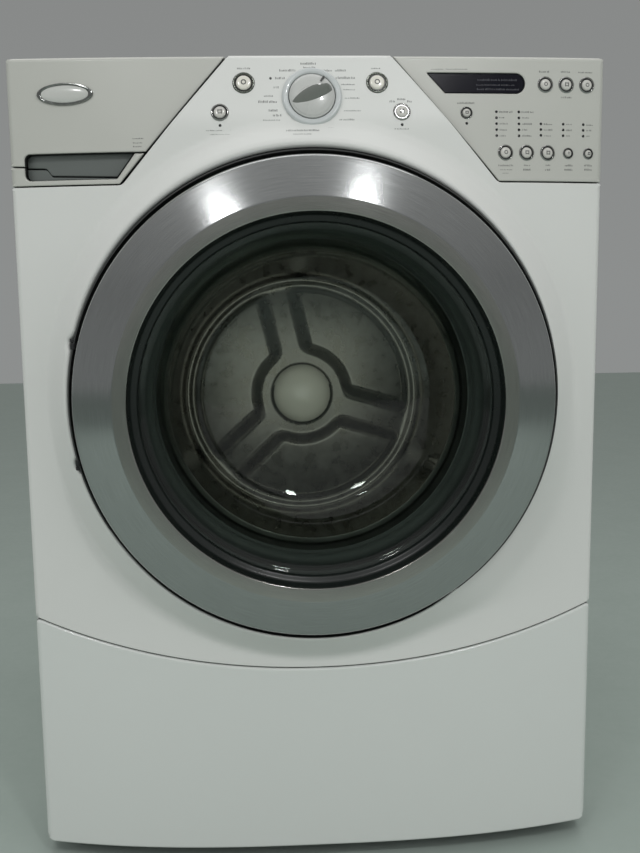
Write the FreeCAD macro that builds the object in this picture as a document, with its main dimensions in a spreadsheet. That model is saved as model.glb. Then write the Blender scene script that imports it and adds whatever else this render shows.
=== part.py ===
import FreeCAD, Part
import math
import os
import re
import Sketcher
from FreeCAD import Placement, Rotation, Vector

# Front load washing machine. Lengths are millimetres: x to the right seen from
# the front, y to the back, z up from the floor, centred on the outer box.

os.makedirs("parts", exist_ok=True)
doc = FreeCAD.newDocument("washer")
sheet = doc.addObject("Spreadsheet::Sheet", "Dims")

SIZES = {
    "cabinet_width": 686.0,
    "cabinet_height": 965.0,
    "cabinet_depth": 800.0,
    "corner_setback": 92.0,      # door crest to the front panel's corner edges
    "front_bow": 36.0,           # how far the front bulges at its middle
    "front_bow_power": 2.6,
    "centre_top_bow": 16.0,      # bow left at the top of the centre console
    "centre_knee_height": 890.0,
    "side_top_bow": 12.0,        # bow left at the top of the side consoles
    "console_height": 823.0,     # lower seam of the side consoles
    "seam_top": 92.0,            # slanted console seams, distance from the middle
    "seam_bottom": 215.0,
    "seam_gap": 1.5,
    "toe_side_height": 313.0,
    "toe_middle_height": 251.0,
    "toe_clearance": 20.0,
    "steel_wall": 1.5,
    "plastic_wall": 2.5,
    "corner_radius": 7.0,
    "door_height": 577.0,
    "ring_outer": 273.5,
    "ring_crest": 227.0,
    "ring_inner": 210.0,
    "ring_edge_drop": 20.0,
    "ring_inner_drop": 16.0,
    "recess_radius": 279.5,
    "recess_lip": 28.0,          # door crest to the surround's edge at top and bottom
    "recess_floor": 66.5,        # door crest to the recess floor
    "mouth_radius": 205.0,
    "crease_radius": 312.0,
    "hinge_across": 274.0,
    "hinge_back": 34.0,          # door crest to the hinge axis
    "drum_tilt": 6.0,
    "drum_pivot": 100.0,         # door crest to the point the drum axis tilts about
    "drum_radius": 250.0,
    "drum_back": 418.0,
    "drum_mouth": 176.0,
    "tub_radius": 271.0,
    "tub_back": 446.0,
    "motor_drop": 330.0,         # drum axis to motor axis
    "drum_pulley_radius": 143.0,
    "motor_pulley_radius": 11.0,
    "damper_across": 215.0,
    "damper_rod_radius": 8.0,
    "foot_across": 300.0,
    "foot_front": 265.0,
    "foot_rear": 350.0,
    "foot_stem_radius": 5.0,
    "foot_pad_radius": 20.0,
    "knob_radius": 25.8,
    "skirt_radius": 34.0,
    "shaft_radius": 3.0,
    "running_gap": 0.05,
}
for row, (alias, value) in enumerate(SIZES.items(), start=1):
    sheet.set(f"A{row}", alias)
    sheet.set(f"B{row}", str(value))
    sheet.setAlias(f"B{row}", alias)
doc.recompute()

size = {alias: float(getattr(sheet, alias)) for alias in SIZES}
HALF = size["cabinet_width"] / 2
FRONT = -size["cabinet_depth"] / 2
BACK = size["cabinet_depth"] / 2
CORNER = FRONT + size["corner_setback"]
TOP = size["cabinet_height"]
KNEE = size["console_height"]
DOOR = size["door_height"]
PANEL_BACK = CORNER + 11.0
BLOCK_BACK = CORNER + 45.0
X_AXIS = Vector(1, 0, 0)
Y_AXIS = Vector(0, 1, 0)
Z_AXIS = Vector(0, 0, 1)
parts = {}


# ---- small helpers -------------------------------------------------------

def keep(label, thing):
    """Give an object its node name and note it for export."""
    thing.Label = label
    parts[label] = thing
    return thing


def with_sheet(text):
    """Point every size name in an expression at the sheet."""
    return re.sub(r"[a-z]\w+", lambda word: "Dims." + word.group(0), str(text))


def bind(thing, attribute, text):
    """Set a property to a number, or tie it to an expression of sizes."""
    if isinstance(text, str):
        thing.setExpression(attribute, with_sheet(text))
    else:
        thing.setExpression(attribute, f"{text}")


def place(thing, at, turn=None):
    if turn is not None:
        thing.Placement = Placement(Vector(0, 0, 0), turn)
    for letter, text in zip("xyz", at):
        bind(thing, f"Placement.Base.{letter}", text)


def outline_sketch(body, plane, corners):
    """Closed outline on an origin plane; every corner is dimensioned."""
    sketch = body.newObject("Sketcher::SketchObject", body.Name + "_outline")
    origin = [item for item in body.Origin.OriginFeatures if item.Role == plane][0]
    sketch.AttachmentSupport = [(origin, "")]
    sketch.MapMode = "FlatFace"
    spots = [[float(sheet.evalExpression(with_sheet(text))) for text in corner]
             for corner in corners]
    count = len(spots)
    for index, spot in enumerate(spots):
        end = spots[(index + 1) % count]
        sketch.addGeometry(Part.LineSegment(Vector(*spot, 0), Vector(*end, 0)), False)
    for index in range(count):
        sketch.addConstraint(Sketcher.Constraint("Coincident", index, 2, (index + 1) % count, 1))
    for index, corner in enumerate(corners):
        for kind, text, value in zip(("DistanceX", "DistanceY"), corner, spots[index]):
            rule = sketch.addConstraint(Sketcher.Constraint(kind, -1, 1, index, 1, value))
            sketch.setExpression(f"Constraints[{rule}]", with_sheet(text))
    return sketch


def turned_body(name, corners):
    """Solid of revolution about y, drawn as (along y, radius) corners."""
    body = doc.addObject("PartDesign::Body", name)
    sketch = outline_sketch(body, "YZ_Plane", corners)
    turned = body.newObject("PartDesign::Revolution", name + "_turned")
    turned.Profile = sketch
    turned.ReferenceAxis = (sketch, ["H_Axis"])
    turned.Angle = 360
    sketch.Visibility = False
    return body


def padded_body(name, plane, corners, length, reverse=False):
    body = doc.addObject("PartDesign::Body", name)
    sketch = outline_sketch(body, plane, corners)
    pad = body.newObject("PartDesign::Pad", name + "_pad")
    pad.Profile = sketch
    pad.Reversed = reverse
    bind(pad, "Length", length)
    sketch.Visibility = False
    return body


def rounded(body, name, radius, chosen):
    """Round the chosen edges of a body's last feature."""
    doc.recompute()
    last = body.Tip
    names = [f"Edge{index}" for index, edge in enumerate(last.Shape.Edges, start=1)
             if chosen(edge)]
    fillet = body.newObject("PartDesign::Fillet", name)
    fillet.Base = (last, names)
    fillet.Radius = radius
    return body


def circle_edge(along, radius):
    """Test for a circular edge about y at one place along the axis."""
    def chosen(edge):
        box = edge.BoundBox
        flat = box.YLength < 0.01 and abs(box.Center.y - along) < 0.05
        return flat and abs(box.ZLength / 2 - radius) < 0.05
    return chosen


def block(name, low, high):
    """Box between two corners; each coordinate may be an expression."""
    thing = doc.addObject("Part::Box", name)
    for side, first, last in zip(("Length", "Width", "Height"), low, high):
        bind(thing, side, f"({last}) - ({first})")
    place(thing, low)
    return thing


def rod(name, radius, length, at, turn=None):
    """Cylinder along z, or along the turned z axis."""
    thing = doc.addObject("Part::Cylinder", name)
    bind(thing, "Radius", radius)
    bind(thing, "Height", length)
    place(thing, at, turn)
    return thing


def joined(name, things):
    thing = doc.addObject("Part::MultiFuse", name)
    thing.Shapes = things
    return thing


def carved(name, base, tools):
    """A base object less one tool or several."""
    tool = tools[0] if len(tools) == 1 else joined(name + "_tools", tools)
    thing = doc.addObject("Part::Cut", name)
    thing.Base = base
    thing.Tool = tool
    return thing


def feature(name, shape):
    thing = doc.addObject("Part::Feature", name)
    thing.Shape = shape
    return thing


def along(direction):
    """Rotation taking z onto a direction."""
    return Rotation(Z_AXIS, direction)


def prism(corners, low=FRONT - 20, high=-250.0):
    """Region of the front view, from (x, z) corners, extruded along y."""
    ring = [Vector(x, low, z) for x, z in corners]
    ring.append(ring[0])
    return Part.Face(Part.makePolygon(ring)).extrude(Vector(0, high - low, 0))


def plain_box(low, high):
    span = Vector(*high) - Vector(*low)
    return Part.makeBox(span.x, span.y, span.z, Vector(*low))


# ---- bowed front ---------------------------------------------------------

def bow_share(x):
    return 1 - abs(x / HALF) ** size["front_bow_power"]


def bow(z, knee, top_bow):
    """Bow of the front at one height: full up to the knee, less above it."""
    if z <= knee:
        return size["front_bow"]
    return size["front_bow"] + (top_bow - size["front_bow"]) * (z - knee) / (TOP - knee)


def centre_bow(z):
    return bow(z, size["centre_knee_height"], size["centre_top_bow"])


def side_bow(z):
    return bow(z, KNEE, size["side_top_bow"])


def surface_spot(x, z, bow_at):
    return Vector(x, CORNER - bow_at(z) * bow_share(x), z)


def surface_normal(x, z, bow_at):
    """Outward normal of the bowed front."""
    spot = surface_spot(x, z, bow_at)
    across = surface_spot(x + 0.5, z, bow_at) - spot
    up = surface_spot(x, z + 0.5, bow_at) - spot
    normal = across.cross(up)
    normal.normalize()
    return normal


def front_level(z, bulge, half, setback):
    """Plan outline of the front at one height."""
    steps = 24
    line = []
    for index in range(steps + 1):
        x = -half + 2 * half * index / steps
        line.append(Vector(x, CORNER + setback - bulge * bow_share(x), z))
    curve = Part.BSplineCurve()
    curve.interpolate(line)
    left = Vector(-half, BLOCK_BACK, z)
    right = Vector(half, BLOCK_BACK, z)
    sides = [Part.makeLine(line[-1], right), Part.makeLine(right, left),
             Part.makeLine(left, line[0])]
    return Part.Wire([curve.toShape()] + sides)


def bowed_block(bow_at, knee, wall, low, high):
    """Solid behind the bowed front, set back by a wall thickness."""
    half = HALF - wall
    levels = [front_level(z, bow_at(z), half, wall) for z in (low, knee, high)]
    lower = Part.makeLoft(levels[:2], True, True)
    upper = Part.makeLoft(levels[1:], True, True)
    whole = lower.fuse(upper).removeSplitter()
    if wall > size["corner_radius"] - 1:
        return whole
    corners = [edge for edge in whole.Edges
               if edge.BoundBox.ZLength > 5 and abs(abs(edge.BoundBox.Center.x) - half) < 0.1
               and edge.BoundBox.Center.y < BLOCK_BACK - 1]
    return whole.makeFillet(size["corner_radius"] - wall, corners)


def bowed_skin(bow_at, knee, wall, low, high, open_top=True):
    inner_high = high + 5 if open_top else high - wall
    outer = bowed_block(bow_at, knee, 0.0, low, high)
    inner = bowed_block(bow_at, knee, wall, low - 5, inner_high)
    return outer.cut(inner.fuse(plain_box((-HALF, PANEL_BACK - 0.01, 0), (HALF, BACK, TOP + 5))))


def seam_across(z, shift=0.0):
    """Distance of the slanted console seams from the middle at one height."""
    slope = (size["seam_bottom"] - size["seam_top"]) / (TOP - KNEE)
    return size["seam_top"] + slope * (TOP - z) + shift


GAP = size["seam_gap"] / 2
WIDE = HALF + 10
toe_low = size["toe_middle_height"]
toe_high = size["toe_side_height"]


def toe_line_region(shift, upper):
    """Region above or below the arched seam over the toe panel."""
    left = Vector(-HALF, FRONT - 20, toe_high + shift)
    right = Vector(HALF, FRONT - 20, toe_high + shift)
    middle = Vector(0, FRONT - 20, toe_low + shift)
    edge = TOP + 20 if upper else -20.0
    arc = Part.Arc(left, middle, right).toShape()
    far = [Vector(HALF, FRONT - 20, edge), Vector(-HALF, FRONT - 20, edge)]
    lines = [Part.makeLine(right, far[0]), Part.makeLine(far[0], far[1]),
             Part.makeLine(far[1], left)]
    return Part.Face(Part.Wire([arc] + lines)).extrude(Vector(0, 170, 0))


skin_centre = bowed_skin(centre_bow, size["centre_knee_height"], size["steel_wall"],
                         size["toe_clearance"], TOP, open_top=False)
keyhole = prism([(-HALF, 100), (-HALF, KNEE - GAP), (-seam_across(KNEE, -GAP), KNEE - GAP),
                 (-seam_across(TOP + 1, -GAP), TOP + 1), (seam_across(TOP + 1, -GAP), TOP + 1),
                 (seam_across(KNEE, -GAP), KNEE - GAP), (HALF, KNEE - GAP), (HALF, 100)])
keyhole_inset = prism([(-WIDE, 90), (-WIDE, KNEE - GAP - 2), (-seam_across(KNEE, -3), KNEE - GAP - 2),
                       (-seam_across(TOP + 9, -3), TOP + 9), (seam_across(TOP + 9, -3), TOP + 9),
                       (seam_across(KNEE, -3), KNEE - GAP - 2), (WIDE, KNEE - GAP - 2), (WIDE, 90)])
panel_region = keyhole.common(toe_line_region(GAP, True))

# edge walls of the raised centre along the slanted seams
step_depth = 16.0
step_band = bowed_block(centre_bow, size["centre_knee_height"], 0.0, KNEE - GAP - 2, TOP).cut(
    bowed_block(centre_bow, size["centre_knee_height"], step_depth, KNEE - 20, TOP + 5))
seam_walls = step_band.common(keyhole.cut(keyhole_inset)).cut(
    plain_box((-HALF, PANEL_BACK - 0.01, 0), (HALF, BACK, TOP + 5)))


def round_section(radius, along_y):
    disc = Part.makeCylinder(radius, 200, Vector(0, along_y, DOOR), Y_AXIS)
    return disc


# surround: cone from the gap round the door back to a soft crease on the panel,
# with a shallower finger pocket low on the right
POCKET_MIDDLE = math.radians(-32)
POCKET_HALF = math.radians(34)


def pocket_share(angle):
    offset = math.remainder(angle - POCKET_MIDDLE, 2 * math.pi)
    if abs(offset) >= POCKET_HALF:
        return 0.0
    return math.cos(offset / POCKET_HALF * math.pi / 2) ** 2


def lip_spot(angle):
    drop = size["recess_lip"] + 10 * math.cos(angle) ** 2 + 26 * pocket_share(angle)
    return size["recess_radius"], FRONT + drop


def crease_spot(angle, behind):
    radius = size["crease_radius"] + 34 * pocket_share(angle)
    x = radius * math.cos(angle)
    z = DOOR + radius * math.sin(angle)
    return radius, surface_spot(x, z, centre_bow).y + behind


def ring_curve(spot_at):
    """Closed curve about the door axis from (radius, y) at each angle."""
    steps = 72
    points = []
    for index in range(steps):
        angle = 2 * math.pi * index / steps
        radius, y = spot_at(angle)
        points.append(Vector(radius * math.cos(angle), y, DOOR + radius * math.sin(angle)))
    curve = Part.BSplineCurve()
    curve.interpolate(points, PeriodicFlag=True)
    return curve.toShape()


floor_y = FRONT + size["recess_floor"]
wall = size["steel_wall"]
rims = [ring_curve(lip_spot),
        ring_curve(lambda angle: crease_spot(angle, wall / 2)),
        ring_curve(lambda angle: crease_spot(angle, wall * 2)),
        ring_curve(lambda angle: (size["recess_radius"] + 4, floor_y + wall)),
        ring_curve(lambda angle: (size["recess_radius"], floor_y + wall))]
faces = [Part.makeRuledSurface(rims[i], rims[(i + 1) % 5]) for i in range(5)]
surround_shell = Part.Shell(Part.makeCompound(faces).Faces)
surround_shell.sewShape()
surround = Part.makeSolid(surround_shell)
if surround.Volume < 0:
    surround.reverse()

recess_disc = Part.makeCylinder(size["recess_radius"] + 2, wall, Vector(0, floor_y, DOOR), Y_AXIS)
recess_disc = recess_disc.cut(Part.makeCylinder(size["mouth_radius"], 50,
                                                Vector(0, floor_y - 20, DOOR), Y_AXIS))
opening = Part.makeCylinder(size["recess_radius"] + 3, 200, Vector(0, FRONT - 20, DOOR), Y_AXIS)
panel = skin_centre.common(panel_region).cut(opening)
panel = panel.fuse([seam_walls.cut(opening), surround, recess_disc])

hinge_x = -size["hinge_across"]
hinge_y = FRONT + size["hinge_back"]
HINGE_ROWS = (77.0, -77.0)
notches = [plain_box((hinge_x - 6.3, FRONT - 5, DOOR + row - (15 if row > 0 else 6.3)),
                     (hinge_x + 30, floor_y - 0.01, DOOR + row + (6.3 if row > 0 else 15)))
           for row in HINGE_ROWS]
lock_slot = plain_box((229, floor_y - 5, DOOR - 22), (248, floor_y + 6, DOOR + 22))

# ---- controls: name, x, z, cap radius, bezel radius ----------------------
CENTRE_BUTTONS = [("button_power", -75.0, 933.0, 8.5, 12.5),
                  ("button_start", 75.0, 933.0, 8.5, 12.5),
                  ("button_option_left", -102.0, 900.0, 6.8, 10.0),
                  ("button_option_right", 102.0, 900.0, 6.8, 10.0)]
SIDE_BUTTONS = [("button_timer_1", 271.5, 933.4, 6.2, 9.4),
                ("button_timer_2", 296.6, 933.4, 6.2, 9.4),
                ("button_timer_3", 321.5, 933.4, 6.2, 9.4),
                ("button_steam", 178.0, 900.5, 4.8, 7.2),
                ("button_temp", 223.2, 856.0, 6.2, 9.2),
                ("button_spin", 248.5, 856.0, 6.2, 9.2),
                ("button_soil", 274.0, 856.0, 6.2, 9.2),
                ("button_sound", 299.4, 856.0, 4.2, 6.6),
                ("button_save", 324.7, 856.0, 4.2, 6.6)]
CENTRE_LIGHTS = [(-102.0, 885.5), (102.0, 885.5)]
SIDE_LIGHTS = [(178.0, 888.7)]
SIDE_LIGHTS += [(x, 902.1 - 6.75 * step) for x in (213.0, 239.6) for step in range(5)]
SIDE_LIGHTS += [(x, 889.0 - 6.5 * step) for x in (266.0, 293.2, 318.1) for step in range(3)]
KNOB_X = 1.2
KNOB_Z = 917.0
knob_spot = surface_spot(KNOB_X, KNOB_Z, centre_bow)
knob_normal = surface_normal(KNOB_X, KNOB_Z, centre_bow)


def post(spot, normal, radius, low, high):
    """Cylinder standing on the front, between two heights along its normal."""
    return Part.makeCylinder(radius, high - low, spot + normal * low, normal)


def button_holes(buttons, bow_at):
    return [post(surface_spot(x, z, bow_at), surface_normal(x, z, bow_at), bezel + 0.05, -8, 6)
            for _, x, z, _, bezel in buttons]


skirt_inner = size["knob_radius"] + 0.6
knob_hole = post(knob_spot, knob_normal, size["skirt_radius"] - 3.95, -12, 8)
knob_seat = post(knob_spot, knob_normal, size["skirt_radius"] + 0.6, 0.3, 12)
panel = panel.cut(Part.makeCompound(button_holes(CENTRE_BUTTONS, centre_bow)
                                    + [knob_hole.fuse(knob_seat)]))
panel = panel.cut(Part.makeCompound(notches + [lock_slot]))
keep("front_panel", feature("front_panel", panel))

# ---- toe panel -----------------------------------------------------------
toe_skin = bowed_skin(centre_bow, size["centre_knee_height"], size["plastic_wall"],
                      size["toe_clearance"], TOP)
keep("toe_panel", feature("toe_panel", toe_skin.common(toe_line_region(-GAP, False))))

# ---- side consoles -------------------------------------------------------
skin_side = bowed_skin(side_bow, KNEE, size["plastic_wall"], KNEE - 100, TOP, open_top=False)


def side_region(sign, corners):
    return prism([(sign * x, z) for x, z in corners])


console_region = side_region(1, [(seam_across(KNEE, GAP), KNEE + GAP), (HALF + 5, KNEE + GAP),
                                 (HALF + 5, TOP + 1), (seam_across(TOP + 1, GAP), TOP + 1)])
DISPLAY = [(139.5, 945.5), (237.0, 945.5), (243.5, 943.0), (247.6, 937.5), (247.6, 931.5),
           (243.5, 926.0), (237.0, 923.4), (158.0, 923.4)]
console = skin_side.common(console_region)
console = console.cut(Part.makeCompound(button_holes(SIDE_BUTTONS, side_bow)))
display_body = bowed_block(side_bow, KNEE, 0.0, KNEE - 100, TOP).cut(
    bowed_block(side_bow, KNEE, 2.2, KNEE - 110, TOP + 5))
keep("display_window", feature("display_window", display_body.common(prism(DISPLAY))))
keep("control_console", feature("control_console", console.cut(prism(DISPLAY))))

# drawer front and the fixed trim under it share a stepped seam
DRAWER_LINE = [(HALF + 5, 845.5), (302.0, 843.5), (296.0, 835.0), (216.5, 832.5), (197.0, 855.0)]
drawer_edge = seam_across(855.0, GAP)
drawer_region = side_region(-1, [(x, z + GAP) for x, z in DRAWER_LINE]
                            + [(drawer_edge, 856.5), (seam_across(TOP + 1, GAP), TOP + 1),
                               (HALF + 5, TOP + 1)])
trim_region = side_region(-1, [(x, z - GAP) for x, z in DRAWER_LINE[:4]]
                          + [(198.5, 853.0), (drawer_edge, 853.0),
                             (seam_across(KNEE, GAP), KNEE + GAP), (HALF + 5, KNEE + GAP)])
POCKET = [(322.0, 836.0), (325.0, 848.0), (321.0, 857.0), (314.0, 860.0), (186.0, 860.0),
          (212.0, 828.0), (300.0, 828.0)]
POCKET_INSET = [(320.0, 838.0), (322.8, 848.0), (319.6, 855.6), (313.2, 858.0), (190.0, 858.0),
                (214.0, 826.0), (300.0, 826.0)]
pocket_depth = 15.0
pocket_block = bowed_block(side_bow, KNEE, 0.4, KNEE - 100, TOP).cut(
    bowed_block(side_bow, KNEE, pocket_depth, KNEE - 110, TOP + 5))
pocket_hollow = bowed_block(side_bow, KNEE, 0.0, KNEE - 100, TOP).cut(
    bowed_block(side_bow, KNEE, pocket_depth - 2.0, KNEE - 110, TOP + 5))
pocket_inner = pocket_hollow.common(side_region(-1, POCKET_INSET))
pocket_cup = pocket_block.common(side_region(-1, POCKET)).cut(pocket_inner)
drawer_skin = skin_side.common(drawer_region).cut(pocket_inner)
drawer_front = drawer_skin.fuse(pocket_cup.common(drawer_region))
keep("drawer_front", feature("drawer_front", drawer_front))
trim_hollow = pocket_hollow.common(side_region(-1, [(324, 832), (324, 850), (299, 850), (299, 832)]))
keep("dispenser_trim", feature("dispenser_trim", skin_side.common(trim_region).cut(trim_hollow)))

badge_spot = surface_spot(-276.0, 924.0, side_bow)
badge_normal = surface_normal(-276.0, 924.0, side_bow)
oval = Part.Ellipse(Vector(0, 0, 0), 32, 12.5).toShape()
badge = Part.Face(Part.Wire([oval])).extrude(Vector(0, 0, 2.6))
badge.Placement = Placement(badge_spot - badge_normal * 1.1,
                            Rotation(X_AXIS, Z_AXIS, badge_normal, "ZXY"))
keep("oval_badge", feature("oval_badge", badge))

# ---- buttons, bezels, lights, knob ---------------------------------------
bezels = []
for buttons, bow_at in ((CENTRE_BUTTONS, centre_bow), (SIDE_BUTTONS, side_bow)):
    for name, x, z, cap, bezel in buttons:
        spot = surface_spot(x, z, bow_at)
        normal = surface_normal(x, z, bow_at)
        ring = post(spot, normal, bezel, -3.0, 1.4).cut(post(spot, normal, cap + 0.4, -4, 3))
        bezels.append(ring)
        button = turned_body(name, [(-2.6, 0), (-2.6, cap - 1.6), (-1.6, cap), (4.0, cap),
                                    (4.0, cap + 1.2), (6.0, cap + 1.2), (6.0, 0)])
        turn = Rotation(Y_AXIS, normal * -1)
        place(button, tuple(spot), turn)
        keep(name, button)
keep("button_bezels", feature("button_bezels", Part.makeCompound(bezels)))

lights = []
for spots, bow_at in ((CENTRE_LIGHTS, centre_bow), (SIDE_LIGHTS, side_bow)):
    for x, z in spots:
        lights.append(post(surface_spot(x, z, bow_at), surface_normal(x, z, bow_at), 1.9, -1, 0.6))
keep("indicator_lights", feature("indicator_lights", Part.makeCompound(lights)))

knob_turn = Rotation(Y_AXIS, knob_normal * -1)
skirt = turned_body("knob_skirt", [
    (-4.0, skirt_inner), (-4.0, "skirt_radius - 2"), (-2.5, "skirt_radius"), (-0.6, "skirt_radius"),
    (-0.6, "skirt_radius - 4"), (6.0, "skirt_radius - 4"), (6.0, 8), (14.0, 8),
    (14.0, "shaft_radius + running_gap"), (3.5, "shaft_radius + running_gap"), (3.5, skirt_inner)])
place(skirt, tuple(knob_spot), knob_turn)
keep("knob_skirt", skirt)

knob_disc = turned_body("knob_disc", [
    (-8.0, 0), (-8.0, 17), (-7.0, 21), (-6.0, "knob_radius - 1.5"), (-4.5, "knob_radius"),
    (2.5, "knob_radius"), (2.5, "shaft_radius"), (20.0, "shaft_radius"), (20.0, 0)])
grip = Part.Face(Part.Wire([
    Part.Arc(Vector(-22, 0, 0), Vector(0, 6.5, 0), Vector(22, 0, 0)).toShape(),
    Part.Arc(Vector(22, 0, 0), Vector(0, -6.5, 0), Vector(-22, 0, 0)).toShape()]))
grip = grip.extrude(Vector(0, 0, 8.5))
grip.Placement = Placement(Vector(0, -7.0, 0), Rotation(X_AXIS, 90)).multiply(
    Placement(Vector(0, 0, 0), Rotation(Z_AXIS, 22)))
knob = joined("cycle_knob", [knob_disc, feature("knob_grip", grip)])
place(knob, tuple(knob_spot), knob_turn)
keep("cycle_knob", knob)

# ---- cabinet sheet metal -------------------------------------------------
side_low = 18.0
side_high = TOP - 20.0
for sign, name in ((-1, "side_panel_left"), (1, "side_panel_right")):
    edge = "cabinet_width / 2"
    channel = [(f"{sign} * ({edge})", PANEL_BACK + 1), (f"{sign} * ({edge})", 386.0),
               (f"{sign} * ({edge} - 22)", 386.0), (f"{sign} * ({edge} - 22)", 384.5),
               (f"{sign} * ({edge} - steel_wall)", 384.5),
               (f"{sign} * ({edge} - steel_wall)", PANEL_BACK + 2.5),
               (f"{sign} * ({edge} - 8)", PANEL_BACK + 2.5),
               (f"{sign} * ({edge} - 8)", PANEL_BACK + 1)]
    sheet_metal = padded_body(name + "_sheet", "XY_Plane", channel, side_high - side_low)
    place(sheet_metal, (0, 0, side_low))
    low_x, high_x = sorted((sign * (HALF - 1.5), sign * (HALF - 42)))
    shelf = block(name + "_shelf", (low_x, -20, 903), (high_x, 125, 906))
    holes = [rod(f"{name}_eye_{index}", 5, 20, (sign * (HALF - 30), y, 895))
             for index, y in enumerate((5, 105))]
    bracket = carved(name + "_bracket", shelf, holes)
    keep(name, joined(name, [sheet_metal, bracket]))

rear = block("rear_plate", (-341, 386, 30), (341, 387.2, TOP - 22))
cover = rod("rear_cover", 235, 6, (0, 387.2, 540), along(Y_AXIS))
dome = rod("rear_dome", 150, 3, (0, 393.2, 540), along(Y_AXIS))
vents = [block(f"vent_{index}", (-150 + 26 * index, 380, 860), (-140 + 26 * index, 400, 905))
         for index in range(5)]
ports = [rod("cold_port", 14.5, 30, (215, 375, 880), along(Y_AXIS)),
         rod("hot_port", 14.5, 30, (280, 375, 880), along(Y_AXIS)),
         rod("power_port", 12, 30, (-270, 375, 880), along(Y_AXIS)),
         rod("drain_port", 18.5, 30, (270, 375, 120), along(Y_AXIS))]
rear_whole = joined("rear_whole", [rear, cover, dome])
keep("rear_panel", carved("rear_panel", rear_whole, vents + ports))

top_block = block("top_block", ("-cabinet_width / 2", PANEL_BACK + 1, "cabinet_height - 20"),
                  ("cabinet_width / 2", 390, "cabinet_height"))
top_round = doc.addObject("Part::Fillet", "top_round")
doc.recompute()
top_round.Base = top_block
top_edges = [index for index, edge in enumerate(top_block.Shape.Edges, start=1)
             if edge.BoundBox.ZMin > TOP - 1 and edge.BoundBox.Center.y > PANEL_BACK + 20]
top_round.Edges = [(index, 6.0, 6.0) for index in top_edges]
top_hollow = block("top_hollow", (-HALF + 2, PANEL_BACK + 3, TOP - 30), (HALF - 2, 388, TOP - 3))
keep("worktop", carved("worktop", top_round, [top_hollow]))

base_low = 22.0
base_block = block("base_block", ("-cabinet_width / 2 + steel_wall", PANEL_BACK + 4, base_low),
                   ("cabinet_width / 2 - steel_wall", 384, 62))
base_hollow = block("base_hollow", (-HALF + 4, PANEL_BACK + 6.5, base_low + 3),
                    (HALF - 4, 381.5, 80))
foot_spots = [(sign_x * size["foot_across"], y) for sign_x in (-1, 1)
              for y in (-size["foot_front"], size["foot_rear"])]
tray_shape = carved("base_tray", base_block, [base_hollow])
nuts = [rod(f"foot_nut_{index}", 13, 22, (x, y, base_low + 1))
        for index, (x, y) in enumerate(foot_spots)]
beam = block("cross_beam", (-HALF + 3, -90, base_low + 2), (HALF - 3, -30, 40))
bores = [rod(f"foot_bore_{index}", "foot_stem_radius + running_gap", 80, (x, y, 0))
         for index, (x, y) in enumerate(foot_spots)]
bores.append(rod("base_opening", 90, 40, (0, 200, 0)))
base_whole = joined("base_whole", [tray_shape, beam] + nuts)
keep("base_frame", carved("base_frame", base_whole, bores))

FOOT_NAMES = ["foot_front_left", "foot_rear_left", "foot_front_right", "foot_rear_right"]
for name, (x, y) in zip(FOOT_NAMES, foot_spots):
    foot = turned_body(name, [(0, 0), (0, "foot_pad_radius - 1"), (2, "foot_pad_radius"),
                              (9, "foot_pad_radius"), (14, 11), (20, 11), (20, "foot_stem_radius"),
                              (60, "foot_stem_radius"), (60, 0)])
    place(foot, (x, y, 0), Rotation(X_AXIS, 90))
    keep(name, foot)

# ---- door ----------------------------------------------------------------
DOOR_AT = (0, "-cabinet_depth / 2", "door_height")
ring = turned_body("door_ring", [
    (0, "ring_crest"), ("ring_edge_drop - 0.5", "ring_outer - 2"), (23, "ring_outer"),
    (46, "ring_outer - 3.5"), (46, "ring_outer - 5.5"), (24, "ring_outer - 2.2"),
    ("ring_edge_drop + 1.2", "ring_outer - 4"), (2.2, "ring_crest + 0.3"),
    ("ring_inner_drop + 1.6", "ring_inner + 1.2"), ("ring_inner_drop", "ring_inner")])
rounded(ring, "door_ring_crest", 1.2, circle_edge(0, size["ring_crest"]))
keep("door_ring", ring)
frame = turned_body("door_inner_frame", [
    (46, 264.5), (59, 260), (59, 206), (55, 206), (55, 216), (22, 217), (22, 213.5),
    (46, 212.5)])
keep("door_inner_frame", frame)
bezel = turned_body("door_bezel", [
    ("ring_inner_drop + 0.2", "ring_inner - 0.2"), (14.2, 206), (16.5, 199), (19.5, 199),
    (19.5, "ring_inner - 0.2")])
keep("door_bezel", bezel)
glass = turned_body("door_glass", [
    (19.6, 208), (19.6, 197), (28, 190), (62, 173.5), (108, 155.5), (138, 112), (142, 0),
    (146.5, 0), (142.5, 115), (111, 160), (64, 178.5), (30, 195.5), (24, 208)])
rounded(glass, "bowl_round", 26, lambda edge: circle_edge(111, 160)(edge) or circle_edge(108, 155.5)(edge)
        or circle_edge(142.5, 115)(edge) or circle_edge(138, 112)(edge))
keep("door_glass", glass)
for thing in (ring, frame, bezel, glass):
    place(thing, DOOR_AT)

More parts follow.
